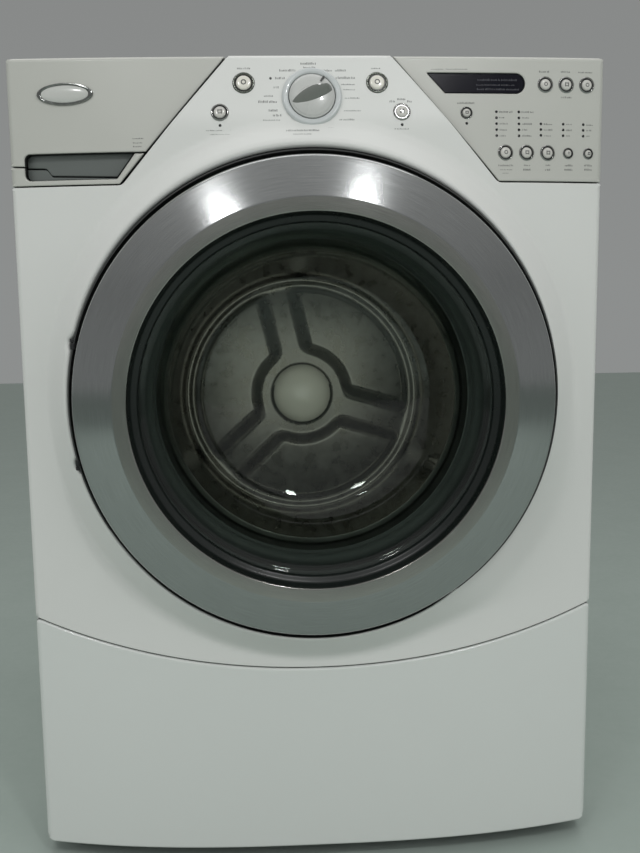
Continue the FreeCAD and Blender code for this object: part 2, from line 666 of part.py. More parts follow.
arm_outline = [(-4.5, 0.0), (-2.5, 4.2), (3.0, 4.6), (3.5, 20.0), (24.0, 20.0), (24.0, 13.6),
               (8.0, 12.9), (5.7, 0.0), (0.0, -4.5)]
arm_pieces = []
lug_pieces = []
lug_bores = []
pin_radius = 2.5
for index, row in enumerate(HINGE_ROWS):
    inward = -1 if row > 0 else 1
    arm_low = min(row + inward * 6.5, row + inward * 14.5)
    arm = padded_body(f"hinge_arm_{index}", "XY_Plane", arm_outline, 8.0)
    place(arm, (hinge_x, hinge_y, DOOR + arm_low))
    pin_low = DOOR + (row - 10.0 if row > 0 else row - 5.5)
    arm_pieces += [arm, rod(f"hinge_pin_{index}", pin_radius, 15.5, (hinge_x, hinge_y, pin_low))]
    lug_pieces.append(rod(f"hinge_eye_{index}", 5.2, 12, (hinge_x, hinge_y, DOOR + row - 6)))
    lug_pieces.append(block(f"hinge_lug_{index}", (hinge_x - 5.2, hinge_y, DOOR + row - 6),
                            (hinge_x + 5.2, floor_y, DOOR + row + 6)))
    lug_pieces.append(block(f"hinge_foot_{index}", (hinge_x - 5.2, floor_y - 4, DOOR + row - 6),
                            (hinge_x + 26, floor_y, DOOR + row + 6)))
    lug_bores.append(rod(f"hinge_bore_{index}", f"{pin_radius} + running_gap", 40,
                         (hinge_x, hinge_y, DOOR + row - 20)))
keep("door_hinge_arm", joined("door_hinge_arm", arm_pieces))
lugs = joined("hinge_lugs", lug_pieces)
keep("door_hinge_bracket", carved("door_hinge_bracket", lugs, lug_bores))

hook_plate = block("hook_plate", (234, FRONT + 59, DOOR - 15), (241, FRONT + 83, DOOR + 15))
hook_foot = block("hook_foot", (222, FRONT + 59, DOOR - 20), (251, FRONT + 61.5, DOOR + 20))
hook_eye = block("hook_eye", (230, FRONT + 70, DOOR - 7), (250, FRONT + 78, DOOR + 7))
keep("door_strike", carved("door_strike", joined("hook_whole", [hook_plate, hook_foot]), [hook_eye]))
lock_case = block("lock_case", (218, floor_y + wall, DOOR - 45), (262, floor_y + 38, DOOR + 45))
lock_cave = block("lock_cave", (229, floor_y, DOOR - 22), (248, floor_y + 24, DOOR + 22))
keep("door_lock_housing", carved("door_lock_housing", lock_case, [lock_cave]))

# ---- dispenser -----------------------------------------------------------
tray_low = (-334.0, -306.0, 863.0)
tray_high = (-192.0, -50.0, 932.0)
tray = plain_box(tray_low, tray_high)
for low_x, high_x in ((-332, -270), (-268, -233), (-231, -194)):
    tray = tray.cut(plain_box((low_x, -303.5, 866), (high_x, -52, 940)))
inside = bowed_block(side_bow, KNEE, size["plastic_wall"], KNEE - 100, TOP - 10)
for low_x in (-330, -262, -199):
    rib = plain_box((low_x, -360, 866), (low_x + 3, -305.5, 928)).common(inside)
    tray = tray.fuse(rib)
keep("drawer_tray", feature("drawer_tray", tray))
case = block("dispenser_case", (-340.5, PANEL_BACK + 4, 855), (-186, -30, 942))
case_hollow = block("dispenser_hollow", (-338, PANEL_BACK - 5, 857.5), (-188.5, -32.5, 939.5))
spout = rod("dispenser_spout", 17, 15.5, (-262, -70, 842))
spout_bore = rod("dispenser_spout_bore", 14, 60, (-262, -70, 830))
case_open = carved("dispenser_open", case, [case_hollow])
case_spout = joined("dispenser_body", [case_open, spout])
keep("dispenser_housing", carved("dispenser_housing", case_spout, [spout_bore]))

# ---- water and power at the back -----------------------------------------
valve_block = block("valve_block", (190, 345, 855), (305, 372, 905))
stubs = []
stub_bores = []
for index, x in enumerate((215, 280)):
    stubs.append(rod(f"stub_{index}", 13.2, 28, (x, 372, 880), along(Y_AXIS)))
    stub_bores.append(rod(f"stub_bore_{index}", 8.5, 40, (x, 365, 880), along(Y_AXIS)))
outlets = [rod("valve_outlet", 8, 40, (247, 350, 905))]
valve_foot = block("valve_foot", (190, 372, 892), (305, 386, 898))
keep("inlet_valve", carved("inlet_valve", joined("valve_whole", [valve_block] + stubs + outlets), stub_bores))
gland = rod("power_gland", 11.9, 24, (-270, 374, 880), along(Y_AXIS))
gland_rim = rod("power_gland_rim", 16, 5, (-270, 387.2, 880), along(Y_AXIS))
elbow = rod("drain_elbow", 16.9, 30, (270, 369, 120), along(Y_AXIS))
elbow_bore = rod("drain_elbow_bore", 12, 60, (270, 350, 120), along(Y_AXIS))
keep("rear_ports", carved("rear_ports", joined("ports_whole", [gland, gland_rim, elbow]), [elbow_bore]))

# ---- drain pump ----------------------------------------------------------
pump_case = rod("pump_case", 36, 70, (170, -210, 86), along(Y_AXIS))
pump_motor = rod("pump_motor", 24, 46, (170, -141, 86), along(Y_AXIS))
pump_filter = rod("pump_filter", 27, 42, (170, -251, 86), along(Y_AXIS))
pump_knob = block("pump_knob", (150, -262, 82), (190, -250, 90))
pump_foot = block("pump_foot", (140, -200, base_low + 3), (200, -150, 70))
pump_inlet = rod("pump_inlet", 15, 40, (170, -175, 110))
keep("drain_pump", joined("drain_pump", [pump_case, pump_motor, pump_filter, pump_knob,
                                         pump_foot, pump_inlet]))

# ---- tub and drum, drawn upright about y, then tilted --------------------
TILT = Rotation(X_AXIS, -size["drum_tilt"])
PIVOT = Vector(0, FRONT + size["drum_pivot"], DOOR)
TUB_AT = (0, "-cabinet_depth / 2 + drum_pivot", "door_height")


def tilted(label, thing):
    place(thing, TUB_AT, TILT)
    return keep(label, thing)


tilted("tub_front", turned_body("tub_front", [
    (8, 190), (8, 195), (18, 196), (20, "tub_radius - 3"), (196, "tub_radius"),
    (196, "tub_radius + 10"), (203, "tub_radius + 10"), (203, "tub_radius - 3"),
    (25, "tub_radius - 6"), (23, 200), (14, 190)]))
tub_shell = turned_body("tub_shell", [
    (203, "tub_radius - 3"), (203, "tub_radius + 10"), (210, "tub_radius + 10"),
    (210, "tub_radius"), ("tub_back", "tub_radius"), ("tub_back + 4", 90),
    ("tub_back + 30", 60), ("tub_back + 30", 32), ("tub_back - 8", 32),
    ("tub_back - 8", 60), ("tub_back", 90), ("tub_back - 4", "tub_radius - 3")])
rib_blocks = []
for index in range(12):
    spoke = block(f"tub_rib_{index}", (-2, "tub_back + 1", 80), (2, "tub_back + 14", 262))
    spoke.Placement = Placement(Vector(0, 0, 0), Rotation(Y_AXIS, 30 * index)).multiply(
        Placement(Vector(-2, size["tub_back"] + 1, 80), Rotation()))
    spoke.setExpression("Placement.Base.x", None)
    spoke.setExpression("Placement.Base.y", None)
    spoke.setExpression("Placement.Base.z", None)
    rib_blocks.append(spoke)
motor_hangers = [block(f"motor_hanger_{index}", (x, 340, -320), (x + 8, 430, -255))
                 for index, x in enumerate((-58, 50))]
tub_rear = joined("tub_rear", [tub_shell] + rib_blocks + motor_hangers)
tilted("tub_rear", tub_rear)

weight_block = block("weight_block", (-130, 60, 240), (130, 185, 315))
weight_saddle = rod("weight_saddle", "tub_radius + 0.2", 400, (0, 0, 0), along(Y_AXIS))
tilted("counterweights", carved("counterweights", weight_block, [weight_saddle]))

stator_case = rod("stator_case", 57, 96, (0, 336, "-motor_drop"), along(Y_AXIS))
stator_bore = rod("stator_bore", 9.05, 200, (0, 300, "-motor_drop"), along(Y_AXIS))
stator_slots = [block(f"stator_slot_{index}", (-70, 352 + 14 * index, -400),
                      (70, 358 + 14 * index, -372)) for index in range(5)]
hanger_gap = [block(f"stator_gap_{index}", (x - 0.05, 339.95, -320.05), (x + 8.05, 430.05, -250))
              for index, x in enumerate((-58, 50))]
tilted("motor_stator", carved("motor_stator", stator_case, [stator_bore] + stator_slots + hanger_gap))

tilted("motor_pulley", turned_body("motor_pulley", [
    (345, 0), (345, 9), (484, 9), (484, 14), (487, 14), (487, "motor_pulley_radius"),
    (499, "motor_pulley_radius"), (499, 14), (502, 14), (502, 0)]))
motor_at = Vector(0, 0, -size["motor_drop"])
parts["motor_pulley"].Placement = Placement(PIVOT, TILT).multiply(Placement(motor_at, Rotation()))
for letter in "xyz":
    parts["motor_pulley"].setExpression(f"Placement.Base.{letter}", None)


def belt_outline(extra):
    """Outline of a belt run round both pulleys, as a face in the x-z plane."""
    big = size["drum_pulley_radius"] + extra
    small = size["motor_pulley_radius"] + extra
    drop = size["motor_drop"]
    lean = math.asin((big - small) / drop)
    big_x, big_z = big * math.cos(lean), -big * math.sin(lean)
    small_x, small_z = small * math.cos(lean), -drop - small * math.sin(lean)
    upper = Part.Arc(Vector(-big_x, 0, big_z), Vector(0, 0, big), Vector(big_x, 0, big_z)).toShape()
    lower = Part.Arc(Vector(small_x, 0, small_z), Vector(0, 0, -drop - small),
                     Vector(-small_x, 0, small_z)).toShape()
    runs = [Part.makeLine(Vector(big_x, 0, big_z), Vector(small_x, 0, small_z)),
            Part.makeLine(Vector(-small_x, 0, small_z), Vector(-big_x, 0, big_z))]
    return Part.Face(Part.Wire([upper, runs[0], lower, runs[1]]))


belt_run = Vector(0, 9.2, 0)
belt = belt_outline(3.9).extrude(belt_run).cut(belt_outline(0.4).extrude(belt_run))
belt.Placement = Placement(PIVOT, TILT).multiply(Placement(Vector(0, 488.4, 0), Rotation()))
keep("drive_belt", feature("drive_belt", belt))

tilted("drum_shell", turned_body("drum_shell", [
    (27, "drum_mouth"), (27, "drum_mouth + 6"), (32, "drum_mouth + 9"), (38, "drum_radius - 6"),
    (44, "drum_radius"), ("drum_back - 4", "drum_radius"), ("drum_back - 4", "drum_radius - 1.2"),
    (44.6, "drum_radius - 1.2"), (39.2, "drum_radius - 6.8"), (33.2, "drum_mouth + 8.4"),
    (29, "drum_mouth + 5"), (29, "drum_mouth")]))
back_disc = turned_body("drum_back_disc", [
    ("drum_back - 26", 0), ("drum_back - 24", 22), ("drum_back - 10", 48), ("drum_back - 8", 120),
    ("drum_back", 168), ("drum_back - 3.9", "drum_radius"), ("drum_back", "drum_radius"),
    ("drum_back + 4", 168), ("drum_back + 4", 60), ("drum_back + 14", 40), ("drum_back + 14", 31.9),
    ("drum_back + 62", 31.9), ("drum_back + 62", 18), ("drum_back + 90", 18), ("drum_back + 90", 0)])
pulley_rim = turned_body("drum_pulley_rim", [
    (486, 126), (486, 146), (488, 146), (488, "drum_pulley_radius"), (498, "drum_pulley_radius"),
    (498, 146), (500, 146), (500, 126)])
pulley_hub = turned_body("drum_pulley_hub", [(484, 17), (484, 30), (502, 30), (502, 17)])
pulley_arms = []
for index in range(6):
    arm = block(f"pulley_arm_{index}", (-7, 489, 28), (7, 497, 128))
    for letter in "xyz":
        arm.setExpression(f"Placement.Base.{letter}", None)
    arm.Placement = Placement(Vector(0, 0, 0), Rotation(Y_AXIS, 60 * index)).multiply(
        Placement(Vector(-7, 489, 28), Rotation()))
    pulley_arms.append(arm)
tilted("drum_back", joined("drum_back", [back_disc, pulley_rim, pulley_hub] + pulley_arms))

lifters = []
for index in range(3):
    side = [Vector(-24, 70, 246.0), Vector(24, 70, 246.0), Vector(9, 70, 204), Vector(-9, 70, 204)]
    fin = Part.Face(Part.makePolygon(side + side[:1])).extrude(Vector(0, 320, 0))
    fin = fin.common(Part.makeCylinder(size["drum_radius"] - 1.3, 500, Vector(0, 0, 0), Y_AXIS))
    fin.Placement = Placement(Vector(0, 0, 0), Rotation(Y_AXIS, 120 * index + 60))
    lifters.append(fin)
fins = Part.makeCompound(lifters)
fins.Placement = Placement(PIVOT, TILT)
keep("drum_lifters", feature("drum_lifters", fins))

# ---- bellows between the front panel and the tub -------------------------
def tilted_spot(along_axis, radius, angle):
    flat = Vector(radius * math.cos(angle), along_axis, radius * math.sin(angle))
    return PIVOT + TILT.multVec(flat)


def panel_spot(y, radius, angle):
    return Vector(radius * math.cos(angle), y, DOOR + radius * math.sin(angle))


def bellows_shell(rows):
    """Solid lofted through circles given as (share, along_axis, radius, y).

    share 0 stands a circle in the panel's plane, 1 in the tub's.
    """
    circles = []
    for part, along_axis, radius, y in rows:
        near = panel_spot(y, 0, 0)
        far = tilted_spot(along_axis, 0, 0)
        normal = Y_AXIS * (1 - part) + TILT.multVec(Y_AXIS) * part
        circle = Part.Circle(near * (1 - part) + far * part, normal, radius)
        circles.append(Part.Wire([circle.toShape()]))
    return Part.makeLoft(circles, True, True)


seal_y = floor_y + wall
seal_outer = bellows_shell([(0, 0, 199, seal_y - 12), (0, 0, 203.5, seal_y - 7),
                            (0, 0, 203.9, seal_y + 0.7), (0, 0, 213, seal_y + 0.8),
                            (0, 0, 213, seal_y + 3.4), (0, 0, 205, seal_y + 3.6),
                            (0.5, 2, 202, seal_y + 8), (1, 3, 201, 0), (1, 17.6, 201, 0)])
seal_inner = bellows_shell([(0, 0, 192, seal_y - 16), (0, 0, 187, seal_y - 4),
                            (0, 0, 189, seal_y + 5), (0.5, 2, 196, seal_y + 8),
                            (1, 4, 196.6, 0), (1, 26, 196.6, 0)])
seal = seal_outer.cut(seal_inner)
keep("door_seal", feature("door_seal", seal))

# ---- dampers, springs and hoses ------------------------------------------
damper_y = -60.0
damper_parts = []
damper_bores = []
rod_parts = []
for index, x in enumerate((-size["damper_across"], size["damper_across"])):
    damper_parts += [rod(f"damper_tube_{index}", 17, 140, (x, damper_y, 40)),
                     rod(f"damper_collar_{index}", 21, 12, (x, damper_y, 168))]
    damper_bores.append(rod(f"damper_bore_{index}", "damper_rod_radius + running_gap", 140,
                            (x, damper_y, 62)))
    rod_parts += [rod(f"damper_rod_{index}", "damper_rod_radius", 255, (x, damper_y, 95)),
                  rod(f"damper_head_{index}", 15, 26, (x, damper_y, 334)),
                  block(f"damper_lug_{index}", (x - 16, damper_y - 16, 350),
                        (x + 16, damper_y + 16, 388))]
damper_tubes = joined("damper_tubes", damper_parts)
keep("damper_cylinders", carved("damper_cylinders", damper_tubes, damper_bores))
tub_space = rod("tub_space", "tub_radius + 0.1", 420, (0, 0, 0))
tub_space.Placement = Placement(PIVOT, TILT).multiply(Placement(Vector(0, 0, 0), along(Y_AXIS)))
for letter in "xyz":
    tub_space.setExpression(f"Placement.Base.{letter}", None)
keep("damper_rods", carved("damper_rods", joined("damper_whole", rod_parts), [tub_space]))


def swept(path, radius):
    """Round bar along a wire."""
    start = path.Edges[0].valueAt(path.Edges[0].FirstParameter)
    heading = path.Edges[0].tangentAt(path.Edges[0].FirstParameter)
    section = Part.Wire([Part.makeCircle(radius, start, heading)])
    return path.makePipeShell([section], True, True)


springs = []
coil_radius = 13.0
for x in (-(HALF - 30), HALF - 30):
    for y in (5.0, 105.0):
        low, turns_high = 690.0, 160.0
        helix = Part.makeHelix(10.0, turns_high, coil_radius)
        coil = swept(Part.Wire(helix.Edges), 2.0)
        coil.Placement = Placement(Vector(x, y, low), Rotation())
        side = 1 if x > 0 else -1
        hook_top = Part.makeCylinder(2.0, 62, Vector(x, y, low + turns_high - 1))
        top_bar = Part.makeCylinder(2.0, coil_radius, Vector(x, y, low + turns_high), X_AXIS)
        low_bar = Part.makeCylinder(2.0, coil_radius, Vector(x, y, low), X_AXIS)
        hook_low = Part.makeCylinder(2.0, 36, Vector(x, y, low - 35))
        bar = Part.makeCylinder(3.0, 70, Vector(x + side * 4, y, low - 34), X_AXIS * -side)
        springs.append(coil.fuse([hook_top, top_bar, low_bar, hook_low, bar]))
spring_set = Part.makeCompound(springs)
tub_solid = Part.makeCylinder(size["tub_radius"] + 10.3, 460, Vector(0, 15, 0), Y_AXIS)
tub_solid.Placement = Placement(PIVOT, TILT)
keep("suspension_springs", feature("suspension_springs", spring_set.cut(tub_solid)))


def hose(points, outer, inner):
    curve = Part.BSplineCurve()
    curve.interpolate([Vector(*point) for point in points])
    path = Part.Wire([curve.toShape()])
    return swept(path, outer).cut(swept(path, inner))


fill_hose = hose([(-262, -70, 836), (-262, -70, 822), (-240, -66, 800), (-196, -60, 775),
                  (-168, -58, 748)], 16.5, 13.5)
sump_hose = hose([(0, -20, 280), (0, -24, 252), (40, -70, 215), (130, -150, 190),
                  (170, -175, 170), (170, -175, 154)], 19, 15)
hoses = Part.makeCompound([fill_hose.cut(tub_solid), sump_hose.cut(tub_solid)])
keep("tub_hoses", feature("tub_hoses", hoses))

# ---- check and export ----------------------------------------------------
doc.recompute()
for thing in doc.Objects:
    if "Invalid" in thing.State or "Error" in thing.State:
        raise RuntimeError(f"{thing.Name}: {thing.State}")
for label, thing in parts.items():
    shape = thing.Shape
    if shape.isNull() or not shape.isValid() or not shape.Solids:
        raise RuntimeError(f"{label}: bad shape")
    shape.exportStep(f"parts/{label}.step")
print("parts:", len(parts))
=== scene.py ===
"""Looks for the front load washing machine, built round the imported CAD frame.

Shapes are worked out in millimetres in the row frame (x right, y back, z up)
and written to the meshes in metres.
"""

import math

import bmesh
import bpy
import numpy as np
from mathutils import Matrix, Vector, geometry


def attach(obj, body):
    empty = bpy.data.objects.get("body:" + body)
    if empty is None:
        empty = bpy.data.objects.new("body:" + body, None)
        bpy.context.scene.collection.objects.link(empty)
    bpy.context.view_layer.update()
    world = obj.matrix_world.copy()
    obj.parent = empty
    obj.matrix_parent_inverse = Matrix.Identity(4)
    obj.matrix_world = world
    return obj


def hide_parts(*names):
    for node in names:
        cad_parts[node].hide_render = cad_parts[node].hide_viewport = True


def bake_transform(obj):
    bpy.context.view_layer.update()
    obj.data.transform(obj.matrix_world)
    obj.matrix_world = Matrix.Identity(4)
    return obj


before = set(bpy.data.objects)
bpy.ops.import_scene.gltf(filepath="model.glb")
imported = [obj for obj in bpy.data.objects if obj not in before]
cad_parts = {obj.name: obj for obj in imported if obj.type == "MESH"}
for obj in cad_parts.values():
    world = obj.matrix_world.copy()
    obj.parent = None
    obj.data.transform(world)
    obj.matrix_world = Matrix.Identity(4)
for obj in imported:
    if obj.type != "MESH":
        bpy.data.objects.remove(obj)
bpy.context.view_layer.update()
MM = 0.001

# ---- sizes shared with the CAD
HALF = 343.0
FRONT = -400.0
CORNER = -308.0
PANEL_BACK = CORNER + 11.0
TOP = 965.0
TOP_EDGE = TOP - 0.2
KNEE = 823.0
CENTRE_KNEE = 890.0
BOW = 36.0
CENTRE_TOP_BOW = 16.0
SIDE_TOP_BOW = 12.0
DOOR = 577.0
RECESS = 279.5
CREASE = 312.0
FLOOR_Y = FRONT + 66.5
MOUTH = 205.0
SEAM_TOP = 92.0
SEAM_BOTTOM = 215.0
TOE_SIDE = 313.0
TOE_MIDDLE = 251.0
TOE_LOW = 20.0
GAP = 0.75
PIVOT = Vector((0.0, FRONT + 100.0, DOOR))
TILT = Matrix.Rotation(math.radians(-6.0), 3, "X")


# ---- surface of the bowed front

def share(x):
    return 1.0 - np.abs(x / HALF) ** 2.6


def soft_min(a, b, width):
    """Smaller of two, with the corner between them rounded over a width."""
    h = np.clip(0.5 + 0.5 * (b - a) / width, 0.0, 1.0)
    return b * (1 - h) + a * h - width * h * (1 - h)


def bow_centre(z):
    slope = (CENTRE_TOP_BOW - BOW) / (TOP - CENTRE_KNEE)
    return soft_min(BOW + 0.0 * z, BOW + slope * (z - CENTRE_KNEE), 3.0)


def bow_side(z):
    slope = (SIDE_TOP_BOW - BOW) / (TOP - KNEE)
    return BOW + slope * np.maximum(z - KNEE, 0.0)


def pocket_share(angle):
    offset = np.arctan2(np.sin(angle + math.radians(32)), np.cos(angle + math.radians(32)))
    inside = np.abs(offset) < math.radians(34)
    return np.where(inside, np.cos(offset / math.radians(34) * math.pi / 2) ** 2, 0.0)


def plain_centre(x, z):
    return CORNER - bow_centre(z) * share(x)


def face_centre(x, z):
    """Front panel with the cone that rises round the door."""
    x = np.asarray(x, float)
    z = np.asarray(z, float)
    plain = plain_centre(x, z)
    radius = np.hypot(x, z - DOOR)
    angle = np.arctan2(z - DOOR, x)
    pocket = pocket_share(angle)
    crease = CREASE + 34 * pocket
    lip = FRONT + 28 + 10 * np.cos(angle) ** 2 + 26 * pocket
    edge = plain_centre(crease * np.cos(angle), DOOR + crease * np.sin(angle))
    slope = (edge - lip) / (crease - RECESS)
    cone = lip + slope * (radius - RECESS)
    near = np.clip((crease + 45 - radius) / 30, 0, 1)
    return np.where(near > 0, soft_min(plain, cone, 5.0) * near + plain * (1 - near), plain)


def face_side(x, z):
    x = np.asarray(x, float)
    z = np.asarray(z, float)
    return CORNER - bow_side(z) * share(x)


def normals_of(surface, x, z):
    """Outward normals of a front surface."""
    step = 0.4
    across = (surface(x + step, z) - surface(x - step, z)) / (2 * step)
    up = (surface(x, z + step) - surface(x, z - step)) / (2 * step)
    normal = np.stack([across, -np.ones_like(across), up], axis=1)
    return normal / np.linalg.norm(normal, axis=1, keepdims=True)


def spot_on(surface, x, z):
    """Point and outward normal on a front surface, as vectors in millimetres."""
    normal = normals_of(surface, np.array([x]), np.array([z]))[0]
    return Vector((x, float(surface(x, z)), z)), Vector(normal)


# ---- meshes

def make_object(name, verts, faces, materials, body, normals=None, sharp=35.0, picks=None):
    """Mesh object from millimetre vertices, riding on a CAD body."""
    mesh = bpy.data.meshes.new(name)
    mesh.from_pydata((np.asarray(verts, float) * MM).tolist(), [], faces)
    for material in materials if isinstance(materials, (list, tuple)) else [materials]:
        mesh.materials.append(material)
    if picks is not None:
        mesh.polygons.foreach_set("material_index", picks)
    mesh.polygons.foreach_set("use_smooth", [True] * len(mesh.polygons))
    if normals is not None:
        mesh.normals_split_custom_set_from_vertices(np.asarray(normals, float).tolist())
    elif sharp is not None:
        mesh.set_sharp_from_angle(angle=math.radians(sharp))
    mesh.update()
    thing = bpy.data.objects.new(name, mesh)
    bpy.context.scene.collection.objects.link(thing)
    if body is None:
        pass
    elif body != "blended":
        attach(thing, body)
    return thing


def settle(thing, slot, *nodes):
    if nodes:
        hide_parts(*nodes)
    return thing


def rounded_outline(corners, step=3.0):
    """Closed outline with rounded corners: each corner is (x, z, radius)."""
    points = []
    count = len(corners)
    for index in range(count):
        x, z, radius = corners[index]
        here = Vector((x, z))
        before = Vector(corners[index - 1][:2]) - here
        after = Vector(corners[(index + 1) % count][:2]) - here
        if radius <= 0:
            points.append(here)
            continue
        before_dir, after_dir = before.normalized(), after.normalized()
        half = before_dir.angle(after_dir) / 2
        reach = min(radius / math.tan(half), 0.49 * before.length, 0.49 * after.length)
        arc = reach * math.tan(half)
        centre = here + (before_dir + after_dir).normalized() * (arc / math.sin(half))
        start = here + before_dir * reach - centre
        end = here + after_dir * reach - centre
        sweep = start.angle_signed(end) * -1
        parts = max(2, int(abs(sweep) * arc / min(step, max(arc / 3, 0.4))) + 1)
        for part in range(parts + 1):
            turn = sweep * part / parts
            points.append(centre + Vector((start.x * math.cos(turn) - start.y * math.sin(turn),
                                           start.x * math.sin(turn) + start.y * math.cos(turn))))
    return resampled(points, step)


def resampled(points, step):
    """Split an outline's long runs so that no edge is longer than a step."""
    result = []
    for index, here in enumerate(points):
        there = points[(index + 1) % len(points)]
        run = (there - here).length
        if run < 1e-4:
            continue
        parts = max(1, math.ceil(run / step))
        result += [here.lerp(there, part / parts) for part in range(parts)]
    return np.array([(point.x, point.y) for point in result])


def circle_outline(x, z, radius, count=64):
    angles = np.linspace(0, 2 * math.pi, count, endpoint=False)
    return np.stack([x + radius * np.cos(angles), z + radius * np.sin(angles)], axis=1)


def signed_area(loop):
    x, z = loop[:, 0], loop[:, 1]
    return 0.5 * float(np.sum(x * np.roll(z, -1) - np.roll(x, -1) * z))


def inside_loop(points, loop):
    """Which points lie inside a closed outline."""
    inside = np.zeros(len(points), bool)
    x, z = points[:, 0], points[:, 1]
    for (x0, z0), (x1, z1) in zip(loop, np.roll(loop, -1, axis=0)):
        crosses = (z0 > z) != (z1 > z)
        if z0 != z1:
            inside ^= crosses & (x < (x1 - x0) * (z - z0) / (z1 - z0) + x0)
    return inside


def loop_frames(loop):
    """Direction towards the material at each point of an outline."""
    ahead = np.roll(loop, -1, axis=0) - loop
    behind = loop - np.roll(loop, 1, axis=0)
    ahead /= np.linalg.norm(ahead, axis=1, keepdims=True)
    behind /= np.linalg.norm(behind, axis=1, keepdims=True)
    both = ahead + behind
    both /= np.linalg.norm(both, axis=1, keepdims=True)
    inward = np.stack([-both[:, 1], both[:, 0]], axis=1)
    widen = 1.0 / np.clip(np.sum(both * ahead, axis=1), 0.5, 1.0)
    return inward, widen


def on_sheet(points, tops):
    """Which points lie inside the first outline and outside the others."""
    keep = inside_loop(points, tops[0])
    for top in tops[1:]:
        keep &= ~inside_loop(points, top)
    return keep


def skin(name, material, body, surface, outline, holes=(), edge=1.8, depth=10.0, wall=1.5,
         spacing=6.0, back_at=None):
    """Sheet over a front surface: rounded edges, returned walls and real thickness.

    edge may be a number or a function of (x, z). holes are (outline, edge, depth).
    back_at(x, z) gives a fixed y where the outer wall ends, or None.
    """
    rims = []
    for loop, rule, fall, ends, sense in [(outline, edge, depth, back_at, 1)] + [
            (*hole, None, -1) for hole in holes]:
        loop = loop if signed_area(loop) * sense > 0 else loop[::-1]
        inward, widen = loop_frames(loop)
        radius = np.array([rule(x, z) if callable(rule) else rule for x, z in loop])
        rims.append((loop, inward, widen, radius, fall, ends))
    tops = [loop + inward * (radius * widen)[:, None] for loop, inward, widen, radius, *_ in rims]
    across, up = (np.linspace(low, high, max(2, int((high - low) / spacing)) + 1)[1:-1]
                  for low, high in zip(tops[0].min(axis=0), tops[0].max(axis=0)))
    grid = np.stack(np.meshgrid(across, up), axis=-1).reshape(-1, 2)
    grid = grid[on_sheet(grid, tops)]
    rim_points = np.concatenate(tops)
    for start in range(0, len(rim_points), 200):
        offsets = grid[:, None, :] - rim_points[None, start:start + 200, :]
        grid = grid[np.min(np.sum(offsets ** 2, axis=2), axis=1) > (0.55 * spacing) ** 2]
    firsts = np.cumsum([0] + [len(top) for top in tops]).tolist()
    edges = [(first + i, first + (i + 1) % len(top)) for first, top in zip(firsts, tops)
             for i in range(len(top))]
    out = geometry.delaunay_2d_cdt([Vector(p) for p in np.concatenate([rim_points, grid]).tolist()],
                                   edges, [], 0, 1e-5)
    flat = np.array([(v.x, v.y) for v in out[0]])
    triangles = np.array(out[2])
    triangles = triangles[on_sheet(flat[triangles].mean(axis=1), tops)]
    one, two, three = (flat[triangles[:, k]] for k in range(3))
    turn = ((two - one)[:, 0] * (three - one)[:, 1] - (two - one)[:, 1] * (three - one)[:, 0])
    triangles[turn < 0] = triangles[turn < 0][:, ::-1]
    origin = {old: new for new, olds in enumerate(out[3]) for old in olds}
    verts = [np.stack([flat[:, 0], surface(*flat.T), flat[:, 1]], axis=1)]
    normals = [normals_of(surface, *flat.T)]
    faces = [tuple(triangle) for triangle in triangles.tolist()]
    picks = [0] * len(faces)
    total = len(flat)
    wall_ends = []
    for first, (loop, inward, widen, radius, fall, ends) in zip(firsts, rims):
        count = len(loop)
        ring = [origin[first + i] for i in range(count)]
        outward = np.stack([-inward[:, 0], np.zeros(count), -inward[:, 1]], axis=1)
        for turn in (22.5, 45.0, 67.5, 90.0, None):
            phi = math.radians(turn or 90.0)
            spot = loop + inward * (radius * (1 - math.sin(phi)) * widen)[:, None]
            y = surface(*spot.T) + (radius * (1 - math.cos(phi)) if turn else radius + fall)
            facing = normals_of(surface, *spot.T) * math.cos(phi) + outward * math.sin(phi)
            facing /= np.linalg.norm(facing, axis=1, keepdims=True)
            shown = np.full(count, turn is not None)
            if turn is None and ends:
                fixed = np.array([ends(x, z) or np.nan for x, z in loop])
                shown = ~np.isnan(fixed)
                y = np.where(shown, fixed, y)
            verts.append(np.stack([spot[:, 0], y, spot[:, 1]], axis=1))
            normals.append(facing)
            new = list(range(total, total + count))
            total += count
            for i in range(count):
                j = (i + 1) % count
                faces.append((ring[i], new[i], new[j], ring[j]))
                # Walls that stop short of the sheet metal take the second material, painted shade
                # in the gaps and holes.
                picks.append(0 if shown[i] and shown[j] else 1)
            ring = new
        wall_ends += zip(ring, ring[1:] + ring[:1])
    verts, normals = np.concatenate(verts), np.concatenate(normals)
    faces += [tuple(index + total for index in reversed(face)) for face in faces]
    faces += [(a, a + total, b + total, b) for a, b in wall_ends]
    return make_object(name, np.concatenate([verts, verts - normals * wall]), faces,
                       [material, SEAM_PAINTED_SHADE], body, normals=np.concatenate([normals, -normals]),
                       picks=picks + picks + [0] * len(wall_ends))


def rounded_profile(corners, steps=5):
    """Profile with rounded corners: each corner is (along, radius, rounding)."""
    points = []
    count = len(corners)
    for index, (u, r, rounding) in enumerate(corners):
        here = Vector((u, r))
        if rounding <= 0 or index in (0, count - 1):
            points.append(here)
            continue
        before = Vector(corners[index - 1][:2]) - here
        after = Vector(corners[index + 1][:2]) - here
        reach = min(rounding, 0.49 * before.length, 0.49 * after.length)
        start = here + before.normalized() * reach
        end = here + after.normalized() * reach
        for step in range(steps + 1):
            t = step / steps
            points.append(start * (1 - t) ** 2 + here * 2 * t * (1 - t) + end * t ** 2)
    return points


